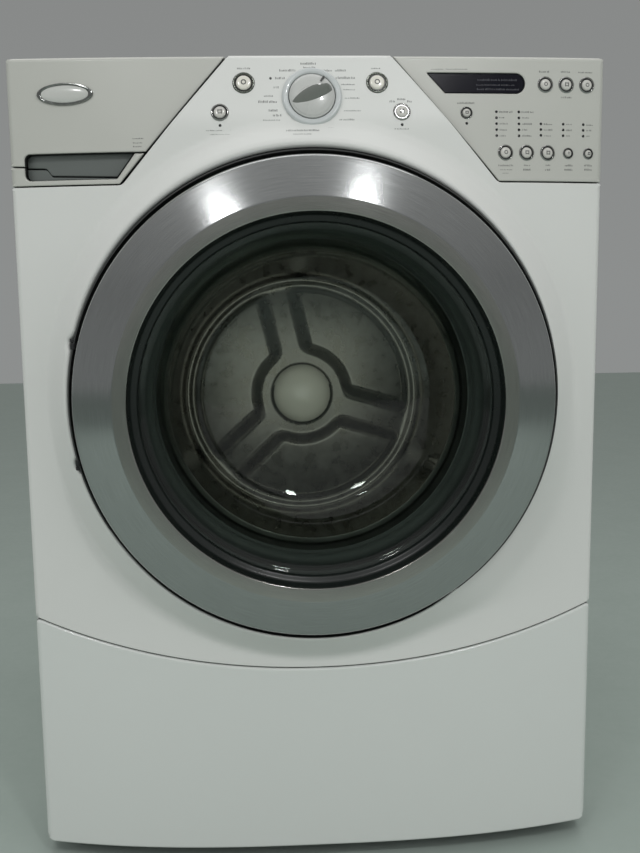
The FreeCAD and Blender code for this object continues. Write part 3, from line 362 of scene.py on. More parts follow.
def tidy(thing, sharp=40.0):
    """Merge points on an axis, drop empty faces and face everything outward."""
    bm = bmesh.new()
    bm.from_mesh(thing.data)
    bmesh.ops.remove_doubles(bm, verts=bm.verts, dist=1e-6)
    bmesh.ops.dissolve_degenerate(bm, edges=bm.edges, dist=1e-7)
    bmesh.ops.recalc_face_normals(bm, faces=bm.faces)
    bm.to_mesh(thing.data)
    bm.free()
    thing.data.polygons.foreach_set("use_smooth", [True] * len(thing.data.polygons))
    thing.data.set_sharp_from_angle(angle=math.radians(sharp))
    thing.data.update()
    return thing


def band_faces(rows, steps, closed=True):
    """Quads between rings of points; closed also joins the last ring to the first."""
    return [(row * steps + step, row * steps + (step + 1) % steps,
             (row + 1) % rows * steps + (step + 1) % steps, (row + 1) % rows * steps + step)
            for row in range(rows if closed else rows - 1) for step in range(steps)]


def capped(rows, steps):
    """Faces of a tube of rings with its first and last ring filled."""
    last = (rows - 1) * steps
    return band_faces(rows, steps, closed=False) + [
        tuple(range(steps)), tuple(reversed(range(last, last + steps)))]


def spot_frame(surface, x, z):
    """Places (x, out, z) about a point on a front surface; out is along its normal."""
    spot, normal = spot_on(surface, x, z)
    right = (Vector((1, 0, 0)) - normal * normal.x).normalized()
    up = normal.cross(right)
    return lambda v: spot + right * v.x - normal * v.y + up * v.z


def merged(name, pieces, material, body, sharp=35.0):
    """Join finished meshes into one object."""
    verts, faces = [], []
    for part_verts, part_faces in pieces:
        first = len(verts)
        verts += [tuple(vert) for vert in part_verts]
        faces += [tuple(index + first for index in face) for face in part_faces]
    return tidy(make_object(name, verts, faces, material, body, sharp=None), sharp)


def round_points(radius, along, steps):
    """Points of a circle about the y axis."""
    return [Vector((radius * math.cos(angle), along, radius * math.sin(angle)))
            for angle in (math.tau * step / steps for step in range(steps))]


def spun(profile, place, steps):
    """Vertices and faces of (along, radius) points turned about a placed axis."""
    verts = [place(v) for along, radius in profile for v in round_points(radius, along, steps)]
    return verts, [face for face in band_faces(len(profile), steps)
                   if max(profile[face[0] // steps].y, profile[face[3] // steps].y) > 1e-6]


def turned_part(corners, place, steps=56):
    """Closed solid of revolution from (along, radius, rounding) corners."""
    return spun(rounded_profile(corners, 4), place, steps)


def door_place(v):
    """Places (x, along, z) about the door axis, measured from the door crest."""
    return Vector((v.x, FRONT + v.y, DOOR + v.z))


def turned(name, corners, material, body, place=door_place, steps=160):
    return merged(name, [spun(rounded_profile(corners), place, steps)], material, body, 40)


def slab_part(outline, low, high, place):
    """Vertices and faces of a flat slab with an (x, z) outline."""
    verts = [place(Vector((x, -level, z))) for level in (high, low) for x, z in outline]
    return verts, capped(2, len(outline))


def bar(x, z, half_x, half_z):
    """Outline of an upright rectangle about a point."""
    return [(x - half_x, z - half_z), (x + half_x, z - half_z),
            (x + half_x, z + half_z), (x - half_x, z + half_z)]


# ---- materials

def node(tree, kind, out, *values, settings=(), **named):
    """Add a shader node and return an output; inputs take values or other outputs."""
    added = tree.nodes.new("ShaderNode" + kind)
    for name, value in settings:
        setattr(added, name, value)
    pairs = list(zip(added.inputs, values))
    pairs += [(added.inputs[name.replace("_", " ")], value) for name, value in named.items()]
    for socket, value in pairs:
        if isinstance(value, bpy.types.NodeSocket):
            tree.links.new(value, socket)
        else:
            socket.default_value = value
    return added.outputs[out]


def maths(tree, operation, *values):
    return node(tree, "Math", 0, *values, settings=[("operation", operation)])


def remap(tree, value, low, high):
    """Spread a texture's middle range between two numbers."""
    return node(tree, "MapRange", "Result", Value=value, From_Min=0.3, From_Max=0.7,
                To_Min=low, To_Max=high)


def shade(tree, value, dark, light):
    return node(tree, "Mix", "Result", settings=[("data_type", "RGBA")], Factor=value,
                A=(*dark, 1), B=(*light, 1))


def new_material(name):
    material = bpy.data.materials.new(name)
    material.use_nodes = True
    return material, material.node_tree


def connect(tree, color, tone, gloss, height, relief, sockets):
    """Feed tone, gloss and relief to the shader, and set its plain numbers."""
    principled = tree.nodes["Principled BSDF"]
    principled.inputs["Base Color"].default_value = (*color, 1)
    for name, value in sockets.items():
        principled.inputs[name.replace("_", " ")].default_value = value
    normal = node(tree, "Bump", "Normal", Height=height, Strength=relief[0], Distance=relief[1])
    for socket, value in (("Base Color", tone), ("Roughness", gloss), ("Normal", normal)):
        tree.links.new(value, principled.inputs[socket])
    return principled


def textured(name, color, rough, spread, cloud, smear, fine, relief, stretch=None, **sockets):
    """Material whose tone, gloss and relief follow noises given as (scale, detail)."""
    material, tree = new_material(name)
    vector = node(tree, "TexCoord", "Object")
    if stretch:
        vector = node(tree, "Mapping", "Vector", Vector=vector, Scale=stretch)
    made = {}
    for scale, detail in (cloud, smear, fine):
        if (scale, detail) not in made:
            made[scale, detail] = node(tree, "TexNoise", "Fac", Vector=vector, Scale=scale,
                                       Detail=detail, Roughness=0.55)
    tone = shade(tree, remap(tree, made[cloud], 0, 1), [max(0.0, c - spread) for c in color],
                 [min(1.0, c + spread) for c in color])
    connect(tree, color, tone, remap(tree, made[smear], *rough), made[fine], relief, sockets)
    return material


def painted(name, color, rough=(0.2, 0.32), grain=260.0, depth=0.00006, spread=0.012, coat=0.5,
            **sockets):
    """Gloss paint or plastic: faint orange peel, slightly uneven tone and sheen."""
    return textured(name, color, rough, spread, (3.5, 3.0), (14.0, 5.0), (grain, 2.0),
                    (0.25, depth), Coat_Weight=coat, Coat_Roughness=0.06, **sockets)


def moulded(name, color, rough=(0.45, 0.6), grain=900.0, depth=0.0001, spread=0.01):
    """Matt moulded plastic or rubber with a fine grain."""
    return textured(name, color, rough, spread, (9.0, 3.0), (grain, 3.0), (grain, 3.0),
                    (0.4, depth))


def metal(name, color, rough=(0.22, 0.34), stretch=(1.0, 1.0, 1.0), grain=120.0, depth=0.00004,
          spread=0.03):
    """Bare metal with a directional grain."""
    fine = (grain, 4.0)
    return textured(name, color, rough, spread, fine, fine, fine, (0.3, depth), stretch,
                    Metallic=1.0)


def ring_metal(name, color, rough=(0.17, 0.25)):
    """Stainless steel brushed round the door axis."""
    material, tree = new_material(name)
    split = node(tree, "SeparateXYZ", 0, node(tree, "TexCoord", "Object")).node.outputs
    x, height = split["X"], maths(tree, "SUBTRACT", split["Z"], DOOR * MM)
    radius = node(tree, "VectorMath", "Value", node(tree, "CombineXYZ", 0, X=x, Z=height),
                  settings=[("operation", "LENGTH")])
    round_axis = node(tree, "CombineXYZ", 0, X=maths(tree, "MULTIPLY", radius, 1500.0),
                      Y=maths(tree, "MULTIPLY", maths(tree, "ARCTAN2", height, x), 6.0))
    lines = node(tree, "TexNoise", "Fac", Vector=round_axis, Scale=1.0, Detail=4.0, Roughness=0.7)
    tone = shade(tree, remap(tree, lines, 0, 1), [c * 0.86 for c in color],
                 [min(1.0, c * 1.12) for c in color])
    principled = connect(tree, color, tone, remap(tree, lines, *rough), lines, (0.18, 0.00005), {
        "Metallic": 1.0, "Anisotropic": 0.85, "Anisotropic_Rotation": 0.25})
    tangent = node(tree, "Tangent", 0, settings=[("direction_type", "RADIAL"), ("axis", "Y")])
    tree.links.new(tangent, principled.inputs["Tangent"])
    return material


def clear_glass(name, tint, gloss=0.7):
    """Thin tinted glass: see-through, with reflections that grow at the edge."""
    material, tree = new_material(name)
    tree.nodes.remove(tree.nodes["Principled BSDF"])
    mirror = node(tree, "BsdfPrincipled", 0, Base_Color=(0.95, 0.97, 0.96, 1), Metallic=1.0,
                  Roughness=0.03)
    share_of_mirror = node(tree, "MapRange", "Result", To_Min=0.035, To_Max=gloss,
                           Value=node(tree, "LayerWeight", "Fresnel", Blend=0.14))
    mix = node(tree, "MixShader", 0, share_of_mirror,
               node(tree, "BsdfTransparent", 0, Color=(*tint, 1)), mirror)
    tree.links.new(mix, tree.nodes["Material Output"].inputs["Surface"])
    return material


ENAMEL = painted("enamel", (0.77, 0.785, 0.76), rough=(0.22, 0.27), spread=0.004)
TOE_WHITE = painted("toe_white", (0.71, 0.735, 0.71), rough=(0.19, 0.24), spread=0.004)
CONSOLE_GREY = painted("console_grey", (0.53, 0.535, 0.495), rough=(0.32, 0.42), grain=700.0,
                       depth=0.0001, coat=0.15)
BRUSHED = ring_metal("brushed_ring", (0.44, 0.45, 0.45))
DRUM_STEEL = metal("drum_steel", (0.60, 0.60, 0.59), rough=(0.16, 0.28), grain=60.0,
                   stretch=(1.0, 6.0, 1.0))
BLACK_GLOSS = painted("black_gloss", (0.008, 0.011, 0.010), rough=(0.24, 0.34), spread=0.003,
                      coat=0.0)
BLACK_MATT = moulded("black_matt", (0.02, 0.02, 0.021), spread=0.004)
FRAME_GREY = moulded("frame_grey", (0.10, 0.105, 0.11))
BOWL_GLASS = clear_glass("bowl_glass", (0.68, 0.72, 0.69))
CHROME = metal("chrome", (0.62, 0.62, 0.61), rough=(0.08, 0.16), grain=200.0, spread=0.02)
SILVER = painted("silver_paint", (0.50, 0.50, 0.48), rough=(0.3, 0.4), spread=0.01, coat=0.3)
PEARL = painted("pearl", (0.80, 0.78, 0.70), rough=(0.2, 0.3), spread=0.008)
GALVANISED = metal("galvanised", (0.52, 0.54, 0.55), rough=(0.40, 0.50), grain=60.0, spread=0.04)
TUB_PLASTIC = moulded("tub_plastic", (0.42, 0.43, 0.44))
CONCRETE = moulded("concrete", (0.36, 0.355, 0.34), rough=(0.8, 0.95), grain=130.0, depth=0.0008,
                   spread=0.05)
RUBBER_GREY = moulded("rubber_grey", (0.16, 0.165, 0.17), rough=(0.5, 0.66), grain=400.0)
RUBBER_BLACK = moulded("rubber_black", (0.02, 0.02, 0.02), rough=(0.55, 0.7), grain=500.0)
ZINC = metal("zinc", (0.58, 0.58, 0.56), rough=(0.3, 0.42), grain=80.0)
SPIDER = metal("spider_metal", (0.56, 0.57, 0.57), rough=(0.34, 0.5), grain=180.0, depth=0.0002)
SPRING = metal("spring_steel", (0.38, 0.38, 0.39), rough=(0.28, 0.4), grain=90.0)
MOTOR = painted("motor_paint", (0.05, 0.052, 0.055), rough=(0.4, 0.55))
INK = moulded("ink_grey", (0.07, 0.072, 0.072), rough=(0.5, 0.6))
# Dark walls of the gaps between panels and round the holes: painted shade.
SEAM_PAINTED_SHADE = moulded("seam_shadow", (0.030, 0.032, 0.031), spread=0.004)
# Near-black lining of the door recess: painted shade for the gap round the door.
RECESS_PAINTED_SHADE = moulded("recess_painted_shade", (0.055, 0.058, 0.057))
SURROUND = painted("surround_white", (0.74, 0.75, 0.725), rough=(0.42, 0.5), coat=0.0)
BRUSHED_INNER = ring_metal("brushed_ring_inner", (0.46, 0.455, 0.43), rough=(0.17, 0.25))
DISPLAY_BLACK = painted("display_black", (0.008, 0.008, 0.013), rough=(0.2, 0.3), spread=0.002,
                        coat=0.0, Specular_IOR_Level=0.15)
DISPLAY_INK = moulded("display_marks", (0.085, 0.085, 0.10))
# Dark greenish grey of the hand pocket floors: painted shade and painted floor reflection.
POCKET_PAINTED_SHADE = painted("pocket_painted_shade", (0.135, 0.15, 0.142), rough=(0.35, 0.45), coat=0.1)
CAP_SILVER = painted("cap_silver", (0.62, 0.61, 0.57), rough=(0.2, 0.3), spread=0.02)
RING_CHROME = metal("ring_chrome", (0.40, 0.40, 0.39), rough=(0.06, 0.14), grain=200.0)
RING_DARK = metal("ring_dark", (0.20, 0.212, 0.19), rough=(0.2, 0.3), grain=200.0)
LAMP_BLACK = painted("lamp_black", (0.016, 0.017, 0.018), rough=(0.15, 0.25), spread=0.003)
SKIRT = painted("knob_skirt", (0.57, 0.60, 0.60), rough=(0.25, 0.35), spread=0.02)
KNOB_SILVER = painted("knob_silver", (0.54, 0.55, 0.53), rough=(0.24, 0.34), spread=0.02)
# Dark grey of the knob grip: the grip's own grey with painted shade on its lower flank.
GRIP_GREY_PAINTED_SHADE = painted("grip_grey_painted_shade", (0.17, 0.18, 0.165), rough=(0.25, 0.35), spread=0.01)
BADGE_RIM = metal("badge_rim", (0.30, 0.31, 0.30), rough=(0.1, 0.18), grain=160.0)
BADGE_FACE = painted("badge_face", (0.58, 0.59, 0.56), rough=(0.16, 0.24), spread=0.02)
# Bright cream of the hub dome: partly the cap's own cream, partly painted light.
HUB_CREAM_PAINTED_LIGHT = painted("hub_cream_painted_light", (0.92, 0.90, 0.78), rough=(0.28, 0.38), spread=0.03)
DRUM_WALL = metal("drum_wall", (0.52, 0.51, 0.49), rough=(0.3, 0.42), grain=70.0)
# Near-black steel of the drum back: painted shade deep inside the drum.
PETAL_STEEL_PAINTED_SHADE = metal("petal_steel_painted_shade", (0.13, 0.126, 0.11), rough=(0.24, 0.36), grain=60.0)

CAD_LOOKS = [
    (ENAMEL, "side_panel_left side_panel_right worktop front_panel"),
    (GALVANISED, "rear_panel base_frame"),
    (TOE_WHITE, "toe_panel"),
    (CONSOLE_GREY, "dispenser_trim control_console drawer_front"),
    (BLACK_GLOSS, "display_window indicator_lights door_bezel"),
    (CHROME, "button_bezels oval_badge"),
    (SILVER, "knob_skirt cycle_knob"),
    (TUB_PLASTIC, "dispenser_housing tub_front tub_rear"),
    (PEARL, "inlet_valve drawer_tray"),
    (BRUSHED, "door_ring"),
    (FRAME_GREY, "door_inner_frame"),
    (BOWL_GLASS, "door_glass"),
    (ZINC, "door_strike"),
    (CONCRETE, "counterweights"),
    (MOTOR, "motor_stator"),
    (RUBBER_BLACK, "drive_belt tub_hoses"),
    (RUBBER_GREY, "door_seal"),
    (SPRING, "suspension_springs damper_rods motor_pulley"),
    (DRUM_STEEL, "drum_shell drum_lifters"),
    (SPIDER, "drum_back"),
]
look_of = {name: look for look, names in CAD_LOOKS for name in names.split()}
# the rest of the small fittings are black plastic
for name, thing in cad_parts.items():
    look = look_of.get(name, PEARL if name.startswith("button") else BLACK_MATT)
    if not thing.material_slots:
        thing.data.materials.append(look)
    for material_slot in thing.material_slots:
        material_slot.material = look

# ---- front panel, toe panel, consoles
SIDE_EDGE = 6.5
TOE_RISE = TOE_SIDE - TOE_MIDDLE
TOE_ARC = (HALF ** 2 + TOE_RISE ** 2) / (2 * TOE_RISE)


def toe_seam(x):
    """Height of the arched seam over the toe panel."""
    return TOE_MIDDLE + TOE_ARC - math.sqrt(TOE_ARC ** 2 - x ** 2)


def seam_across(z, shift=0.0):
    return SEAM_TOP + (SEAM_BOTTOM - SEAM_TOP) / (TOP - KNEE) * (TOP - z) + shift


def at_side(x):
    return abs(x) > HALF - 0.5


def at_top(z):
    return z > TOP - 0.8


def toe_edge(x, z):
    return 7.0 if at_side(x) else 3.5


def side_wall_end(x, z):
    return PANEL_BACK if at_side(x) else None


upper = rounded_outline([
    (-HALF, KNEE - GAP, 4), (-HALF, TOE_SIDE + GAP, 0), (HALF, TOE_SIDE + GAP, 0),
    (HALF, KNEE - GAP, 4), (seam_across(KNEE, -GAP), KNEE - GAP, 10),
    (seam_across(TOP, -GAP), TOP_EDGE, 1.5), (-seam_across(TOP, -GAP), TOP_EDGE, 1.5),
    (-seam_across(KNEE, -GAP), KNEE - GAP, 10)], step=4.0)
on_arc = np.abs(upper[:, 1] - (TOE_SIDE + GAP)) < 0.01
upper[on_arc, 1] = [toe_seam(min(abs(x), HALF)) + GAP for x in upper[on_arc, 0]]

CENTRE_BUTTONS = [("button_power", -75.0, 933.0, 8.5, 12.5),
                  ("button_start", 75.0, 933.0, 8.5, 12.5),
                  ("button_option_left", -102.0, 900.0, 6.8, 10.0),
                  ("button_option_right", 102.0, 900.0, 6.8, 10.0)]
SIDE_BUTTONS = [("button_timer_1", 271.5, 933.4, 6.2, 9.4),
                ("button_timer_2", 296.6, 933.4, 6.2, 9.4),
                ("button_timer_3", 321.5, 933.4, 6.2, 9.4),
                ("button_steam", 178.0, 900.5, 4.8, 7.2),
                ("button_temp", 223.2, 856.0, 6.2, 9.2),
                ("button_spin", 248.5, 856.0, 6.2, 9.2),
                ("button_soil", 274.0, 856.0, 6.2, 9.2),
                ("button_sound", 299.4, 856.0, 4.2, 6.6),
                ("button_save", 324.7, 856.0, 4.2, 6.6)]
CENTRE_LIGHTS = [(-102.0, 885.5), (102.0, 885.5)]
SIDE_LIGHTS = [(178.0, 888.7)]
SIDE_LIGHTS += [(x, 902.1 - 6.75 * step) for x in (213.0, 239.6) for step in range(5)]
SIDE_LIGHTS += [(x, 889.0 - 6.5 * step) for x in (266.0, 293.2, 318.1) for step in range(3)]
KNOB_X = 1.2
KNOB_Z = 917.0


def lip_radius(x, z):
    """The lip rolls over softly above and left of the door and is tight below."""
    angle = math.atan2(z - DOOR, x)
    soft = 0.5 + 0.5 * math.cos(angle - math.radians(118))
    return 3.0 + 10.0 * soft ** 1.5


def console_edge(x, z):
    """Edge radius of the panels: broad along the top and at the outer corners."""
    if at_top(z):
        return 4.6
    return SIDE_EDGE if at_side(x) else 1.5


def to_sheet_metal(x, z):
    """Outer walls at the top and sides run back to the cabinet's panels."""
    return PANEL_BACK if at_side(x) or at_top(z) else None


def door_opening():
    """Door hole with a small bay at each hinge knuckle."""
    loop = circle_outline(0, DOOR, RECESS, 288)
    angle = np.arctan2(loop[:, 1] - DOOR, loop[:, 0])
    wide = 1 + 2.6 / RECESS * (0.5 + 0.5 * np.cos(angle - math.radians(100))) ** 2
    loop = (loop - (0, DOOR)) * wide[:, None] + (0, DOOR)
    for low, high in ((640.0, 653.0), (501.0, 514.0)):
        inside = (loop[:, 0] < 0) & (loop[:, 1] > low) & (loop[:, 1] < high)
        loop[inside, 0] = -276.0
    return loop


panel_holes = [(door_opening(), lip_radius, 14.0)]
panel_holes += [(circle_outline(x, z, bezel - 0.6, 32), 0.4, 4.0)
                for _, x, z, _, bezel in CENTRE_BUTTONS]
panel_holes.append((circle_outline(KNOB_X, KNOB_Z, 29.5, 64), 0.4, 6.0))
panel = skin("front_panel_skin", SURROUND, "cabinet", face_centre, upper, panel_holes,
             edge=console_edge, depth=12.0, spacing=5.0, back_at=to_sheet_metal)
settle(panel, "white_enamel", "front_panel")
# The door recess is white enamel; its near-black lining is painted shade.
recess = turned("door_recess", [
    (40, RECESS - 0.05, 0), (66.5, RECESS - 0.05, 6), (66.5, MOUTH, 0), (68, MOUTH, 0),
    (68, RECESS + 1.4, 6), (40, RECESS + 1.4, 0)], RECESS_PAINTED_SHADE, "cabinet")
settle(recess, "white_enamel", "front_panel")

toe_outline = rounded_outline([(HALF, TOE_SIDE - GAP, 9), (-HALF, TOE_SIDE - GAP, 9),
                               (-HALF, TOE_LOW, 10), (HALF, TOE_LOW, 10)], step=4.0)
high = toe_outline[:, 1] > 200
toe_outline[high, 1] -= [TOE_SIDE - toe_seam(min(abs(x), HALF)) for x in toe_outline[high, 0]]
settle(skin("toe_panel_skin", TOE_WHITE, "cabinet", face_centre, toe_outline,
            edge=toe_edge, depth=14.0, wall=2.5, spacing=7.0, back_at=side_wall_end),
       "white_plastic", "toe_panel")

# ---- side consoles, drawer front and trim
LEFT_GAP = 2.3
DISPLAY_DEPTH = 1.9
POCKET_DEPTH = 11.0
DISPLAY = [(132.5, 945.8, 0.8), (247.4, 945.8, 11.6), (247.4, 922.6, 11.6), (153.6, 922.6, 0.8)]


def mirrored(corners):
    return [(-x, z, radius) for x, z, radius in corners]


console_outline = rounded_outline([
    (seam_across(KNEE + GAP, GAP), KNEE + GAP, 3), (HALF, KNEE + GAP, 2.5), (HALF, TOP_EDGE, 7),
    (seam_across(TOP, GAP), TOP_EDGE, 1.5)], step=3.0)
display_outline = rounded_outline(DISPLAY, step=1.5)
console_holes = [(circle_outline(x, z, bezel - 0.5, 32), 0.4, 3.0)
                 for _, x, z, _, bezel in SIDE_BUTTONS]
console_holes.append((display_outline, 1.5, 1.6))
settle(skin("control_console_skin", CONSOLE_GREY, "cabinet", face_side, console_outline,
            console_holes, edge=console_edge, depth=9.0, wall=2.0, spacing=5.0,
            back_at=to_sheet_metal), "console_plastic", "control_console")


def raised(surface, lift):
    """The same front surface, moved out by a height."""
    return lambda x, z: surface(x, z) - lift


display_face = raised(face_side, -DISPLAY_DEPTH)
settle(skin("display_lens", DISPLAY_BLACK, "cabinet", display_face,
            rounded_outline([(134.3, 945.0, 0.5), (246.6, 945.0, 10.8), (246.6, 923.4, 10.8),
                             (154.0, 923.4, 0.5)], step=2.0),
            edge=0.5, depth=0.6, wall=0.8, spacing=6.0), "display_black", "display_window")

drawer_outline = rounded_outline(mirrored([
    (HALF, 846.2, 2.5), (325.6, 845.4, 0), (325.8, 859.0, 13),
    (seam_across(859.0, LEFT_GAP), 859.0, 0), (seam_across(TOP, LEFT_GAP), TOP_EDGE, 1.5),
    (HALF, TOP_EDGE, 7)]), step=3.0)


def drawer_edge(x, z):
    inside_pocket = 844.0 < z < 861.0 and abs(x) < 327.0
    return 1.6 if inside_pocket else console_edge(x, z)


settle(skin("drawer_front_skin", CONSOLE_GREY, "drawer", face_side, drawer_outline,
            edge=drawer_edge, depth=12.5, wall=1.8, spacing=5.0, back_at=to_sheet_metal),
       "console_plastic", "drawer_front")
# floor of the hand pocket, which moves with the drawer; its dark greenish grey is painted shade
# with a painted floor reflection
pocket_floor = rounded_outline(mirrored([
    (324.8, 844.6, 1), (324.8, 858.8, 12), (200.6, 858.8, 1), (220.4, 832.6, 2),
    (296.2, 835.2, 4), (302.6, 843.6, 4)]), step=3.0)
pocket_back = raised(face_side, -POCKET_DEPTH)
settle(skin("drawer_pocket_floor", POCKET_PAINTED_SHADE, "drawer", pocket_back, pocket_floor, edge=1.4,
            depth=2.0, wall=1.2, spacing=5.0), "console_plastic", "drawer_front")

trim_outline = rounded_outline(mirrored([
    (HALF, 844.7, 2.5), (325.8, 843.9, 0), (325.8, 829.4, 10), (219.5, 829.4, 4),
    (199.0, 857.4, 1.5), (seam_across(857.4, LEFT_GAP), 857.4, 0.6),
    (seam_across(KNEE + GAP, LEFT_GAP), KNEE + GAP, 3), (HALF, KNEE + GAP, 2.5)]), step=3.0)


def trim_edge(x, z):
    if at_side(x):
        return SIDE_EDGE
    return 2.4 if z > 828.5 and -327.0 < x < -189.0 else 1.2


settle(skin("dispenser_trim_skin", CONSOLE_GREY, "cabinet", face_side, trim_outline,
            edge=trim_edge, depth=11.0, wall=1.6, spacing=5.0, back_at=side_wall_end),
       "console_plastic", "dispenser_trim")
trim_floor = rounded_outline(mirrored([
    (324.8, 843.0, 1), (302.0, 842.2, 4), (295.4, 833.8, 4), (222.0, 831.3, 0.5),
    (221.2, 830.4, 0.3), (324.8, 830.4, 9)]), step=3.0)
# The trim's share of the pocket floor has the same painted shade.
settle(skin("dispenser_trim_floor", POCKET_PAINTED_SHADE, "cabinet", pocket_back, trim_floor, edge=0.8,
            depth=2.0, wall=1.2, spacing=5.0), "console_plastic", "dispenser_trim")


# ---- door

def split_look(thing, look, test):
    """Give the faces whose centre passes a test a second material."""
    thing.data.materials.append(look)
    for polygon in thing.data.polygons:
        if test(polygon.center / MM):
            polygon.material_index = 1
    return thing


def door_radius(point):
    return math.hypot(point.x, point.z - DOOR)


ring = turned("door_ring_bands", [
    (6.0, 210.6, 0), (1.0, 210.6, 1.3), (0.25, 226.8, 0.9), (20.0, 271.8, 2.2),
    (24.0, 273.5, 1.5), (45.5, 270.0, 0.6), (46.0, 268.4, 0.6), (25.0, 271.2, 1.5),
    (21.5, 269.6, 2.0), (2.6, 227.0, 2.0), (2.4, 212.2, 0.5), (6.0, 212.0, 0)], BRUSHED, "door",
              steps=288)
split_look(ring, BRUSHED_INNER, lambda p: door_radius(p) < 226.0)
settle(ring, "brushed_ring", "door_ring")
settle(turned("door_bezel_band", [
    (19.6, 211.4, 0), (2.9, 211.8, 0.3), (3.2, 210.4, 0.5), (12.6, 207.4, 3.0), (15.8, 200.6, 1.6),
    (19.6, 199.2, 0)], BLACK_GLOSS, "door", steps=256), "bezel_plastic", "door_bezel")
bowl = turned("door_bowl", [
    (19.7, 207.9, 0), (19.7, 198.2, 2.0), (27.0, 190.5, 5.0), (33.0, 187.0, 2.0),
    (36.0, 186.6, 1.0), (62.0, 173.5, 14.0), (97.0, 160.5, 3.0), (100.5, 156.4, 2.0),
    (104.5, 155.4, 2.0), (117.0, 141.4, 2.5), (119.5, 137.2, 2.0), (126.5, 129.5, 6.0),
    (142.0, 62.0, 60.0),
    (142.0, 0.0, 0), (146.5, 0.0, 0), (146.4, 64.0, 60.0), (135.0, 126.0, 46.0),
    (104.0, 162.0, 24.0), (64.0, 178.0, 14.0), (30.5, 195.3, 3.0), (24.0, 207.9, 0)],
    BOWL_GLASS, "door", steps=256)
settle(bowl, "door_glass", "door_glass")
settle(turned("door_frame_ring", [
    (46.0, 264.5, 1), (58.8, 260.0, 2), (58.8, 206.0, 1.5), (55.2, 206.0, 1), (55.2, 216.0, 1),
    (22.0, 217.0, 1), (22.0, 213.5, 1), (46.0, 212.5, 1)], FRAME_GREY, "door", steps=192),
       "frame_plastic", "door_inner_frame")

HINGE_X = -272.5
PIN_RADIUS = 3.2


def hinge_pieces():
    """Pins and lugs of the two hinges, kept behind the lip of the door opening."""
    lugs, arms = [], []
    for sign in (1, -1):
        row = DOOR + sign * 77.0

        def pin(v, row=row):
            return Vector((HINGE_X + v.x, -357.5 - v.z, row + v.y))

        def leaf(v, row=row):
            return Vector((HINGE_X + v.x, -355.0 + 0.28 * v.x + v.y, row + v.z))

        for pieces, ends in ((lugs, (2.0, 5.8)), (arms, (6.6, 14.0))):
            low, high = sorted(-sign * end for end in ends)
            pieces.append(turned_part([(low, 0, 0), (low, PIN_RADIUS, 0.8),
                                       (high, PIN_RADIUS, 0.8), (high, 0, 0)], pin, 28))
        arms.append(slab_part([(-1.5, low + 0.8), (16.0, low - 2.0), (16.0, high + 2.0),
                               (-1.5, high - 0.8)], -2.0, 2.0, leaf))
    settle(merged("door_hinge_lugs", lugs, BLACK_MATT, "cabinet"), "black_plastic",
           "door_hinge_bracket")
    settle(merged("door_hinge_arms", arms, BLACK_MATT, "door"), "zinc", "door_hinge_arm")


hinge_pieces()

# ---- bellows

def tilted_place(v):
    return PIVOT + TILT @ Vector((v.x, v.y, v.z))


SEAL_Y = FLOOR_Y + 1.5
BELLOWS = [(0, 0, 212.5, SEAL_Y + 3.2), (0, 0, 212.5, SEAL_Y + 1.0), (0, 0, 203.9, SEAL_Y + 0.6),
           (0, 0, 203.6, SEAL_Y - 7.0), (0, 0, 200.5, SEAL_Y - 10.5), (0, 0, 196.0, SEAL_Y - 12.0),
           (0, 0, 190.5, SEAL_Y - 11.5), (0, 0, 187.2, SEAL_Y - 7.0), (0, 0, 187.0, SEAL_Y),
           (0, 0, 189.5, SEAL_Y + 5.5), (0.25, 2, 194.0, SEAL_Y + 6.0),
           (0.35, 2, 192.0, SEAL_Y + 8.0), (0.5, 3, 187.0, SEAL_Y + 9.0),
           (0.65, 3, 189.0, SEAL_Y + 9.0), (0.8, 4, 195.6, SEAL_Y + 9.0), (0.95, 5, 196.7, SEAL_Y),
           (1, 8, 196.7, 0), (1, 17.5, 196.7, 0), (1, 17.5, 200.6, 0), (1, 5, 200.6, 0),
           (0.9, 3, 200.8, SEAL_Y + 9), (0.72, 3, 198.0, SEAL_Y + 9.0),
           (0.5, 3, 190.6, SEAL_Y + 9.0), (0.33, 2, 196.4, SEAL_Y + 8.0),
           (0.2, 2, 200.6, SEAL_Y + 6.0), (0, 0, 205.0, SEAL_Y + 3.6)]


def bellows():
    """Rubber bellows from the front panel's mouth to the tilted tub collar."""
    steps = 144
    verts = [(near + Vector((0, 0, DOOR))) * (1 - part) + tilted_place(far) * part
             for part, along, radius, y in BELLOWS
             for near, far in zip(round_points(radius, y, steps),
                                  round_points(radius, along, steps))]
    seal = merged("door_seal_bellows", [(verts, band_faces(len(BELLOWS), steps))], RUBBER_GREY,
                  "blended", 50)
    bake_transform(seal)
    settle(seal, "rubber_grey", "door_seal")


bellows()

# ---- drum and what shows behind the glass
settle(turned("tub_front_collar", [
    (8, 190, 0.8), (8, 195, 0.8), (18, 196, 1), (20, 268, 3), (196, 271, 0), (196, 281, 1),
    (203, 281, 1), (203, 268, 0), (25, 265, 4), (23, 200, 2), (14, 190, 2)], TUB_PLASTIC, "tub",
    place=tilted_place, steps=144), "tub_plastic", "tub_front")


DRUM_RADIUS = 250.0
DRUM_SHEET = 1.2


def drum_shell():
    """Rolled steel drum with a rounded mouth."""
    profile = rounded_profile([
        (29.0, 176.6, 0), (27.0, 177.0, 0.8), (27.0, 183.0, 1.5), (31.0, 186.0, 2),
        (36.0, 240.0, 10), (48.0, DRUM_RADIUS, 9), (414.0, DRUM_RADIUS, 0)], steps=6)
    inner = []
    for before, point, after in zip(profile[:1] + profile, profile, profile[1:] + profile[-1:]):
        run = (after - before).normalized()
        inner.append(point + Vector((run.y, -run.x)) * DRUM_SHEET)
    settle(merged("drum_shell_rolled", [spun(profile + inner[::-1], tilted_place, 240)],
                  DRUM_WALL, "drum", 40), "drum_steel", "drum_shell")


drum_shell()

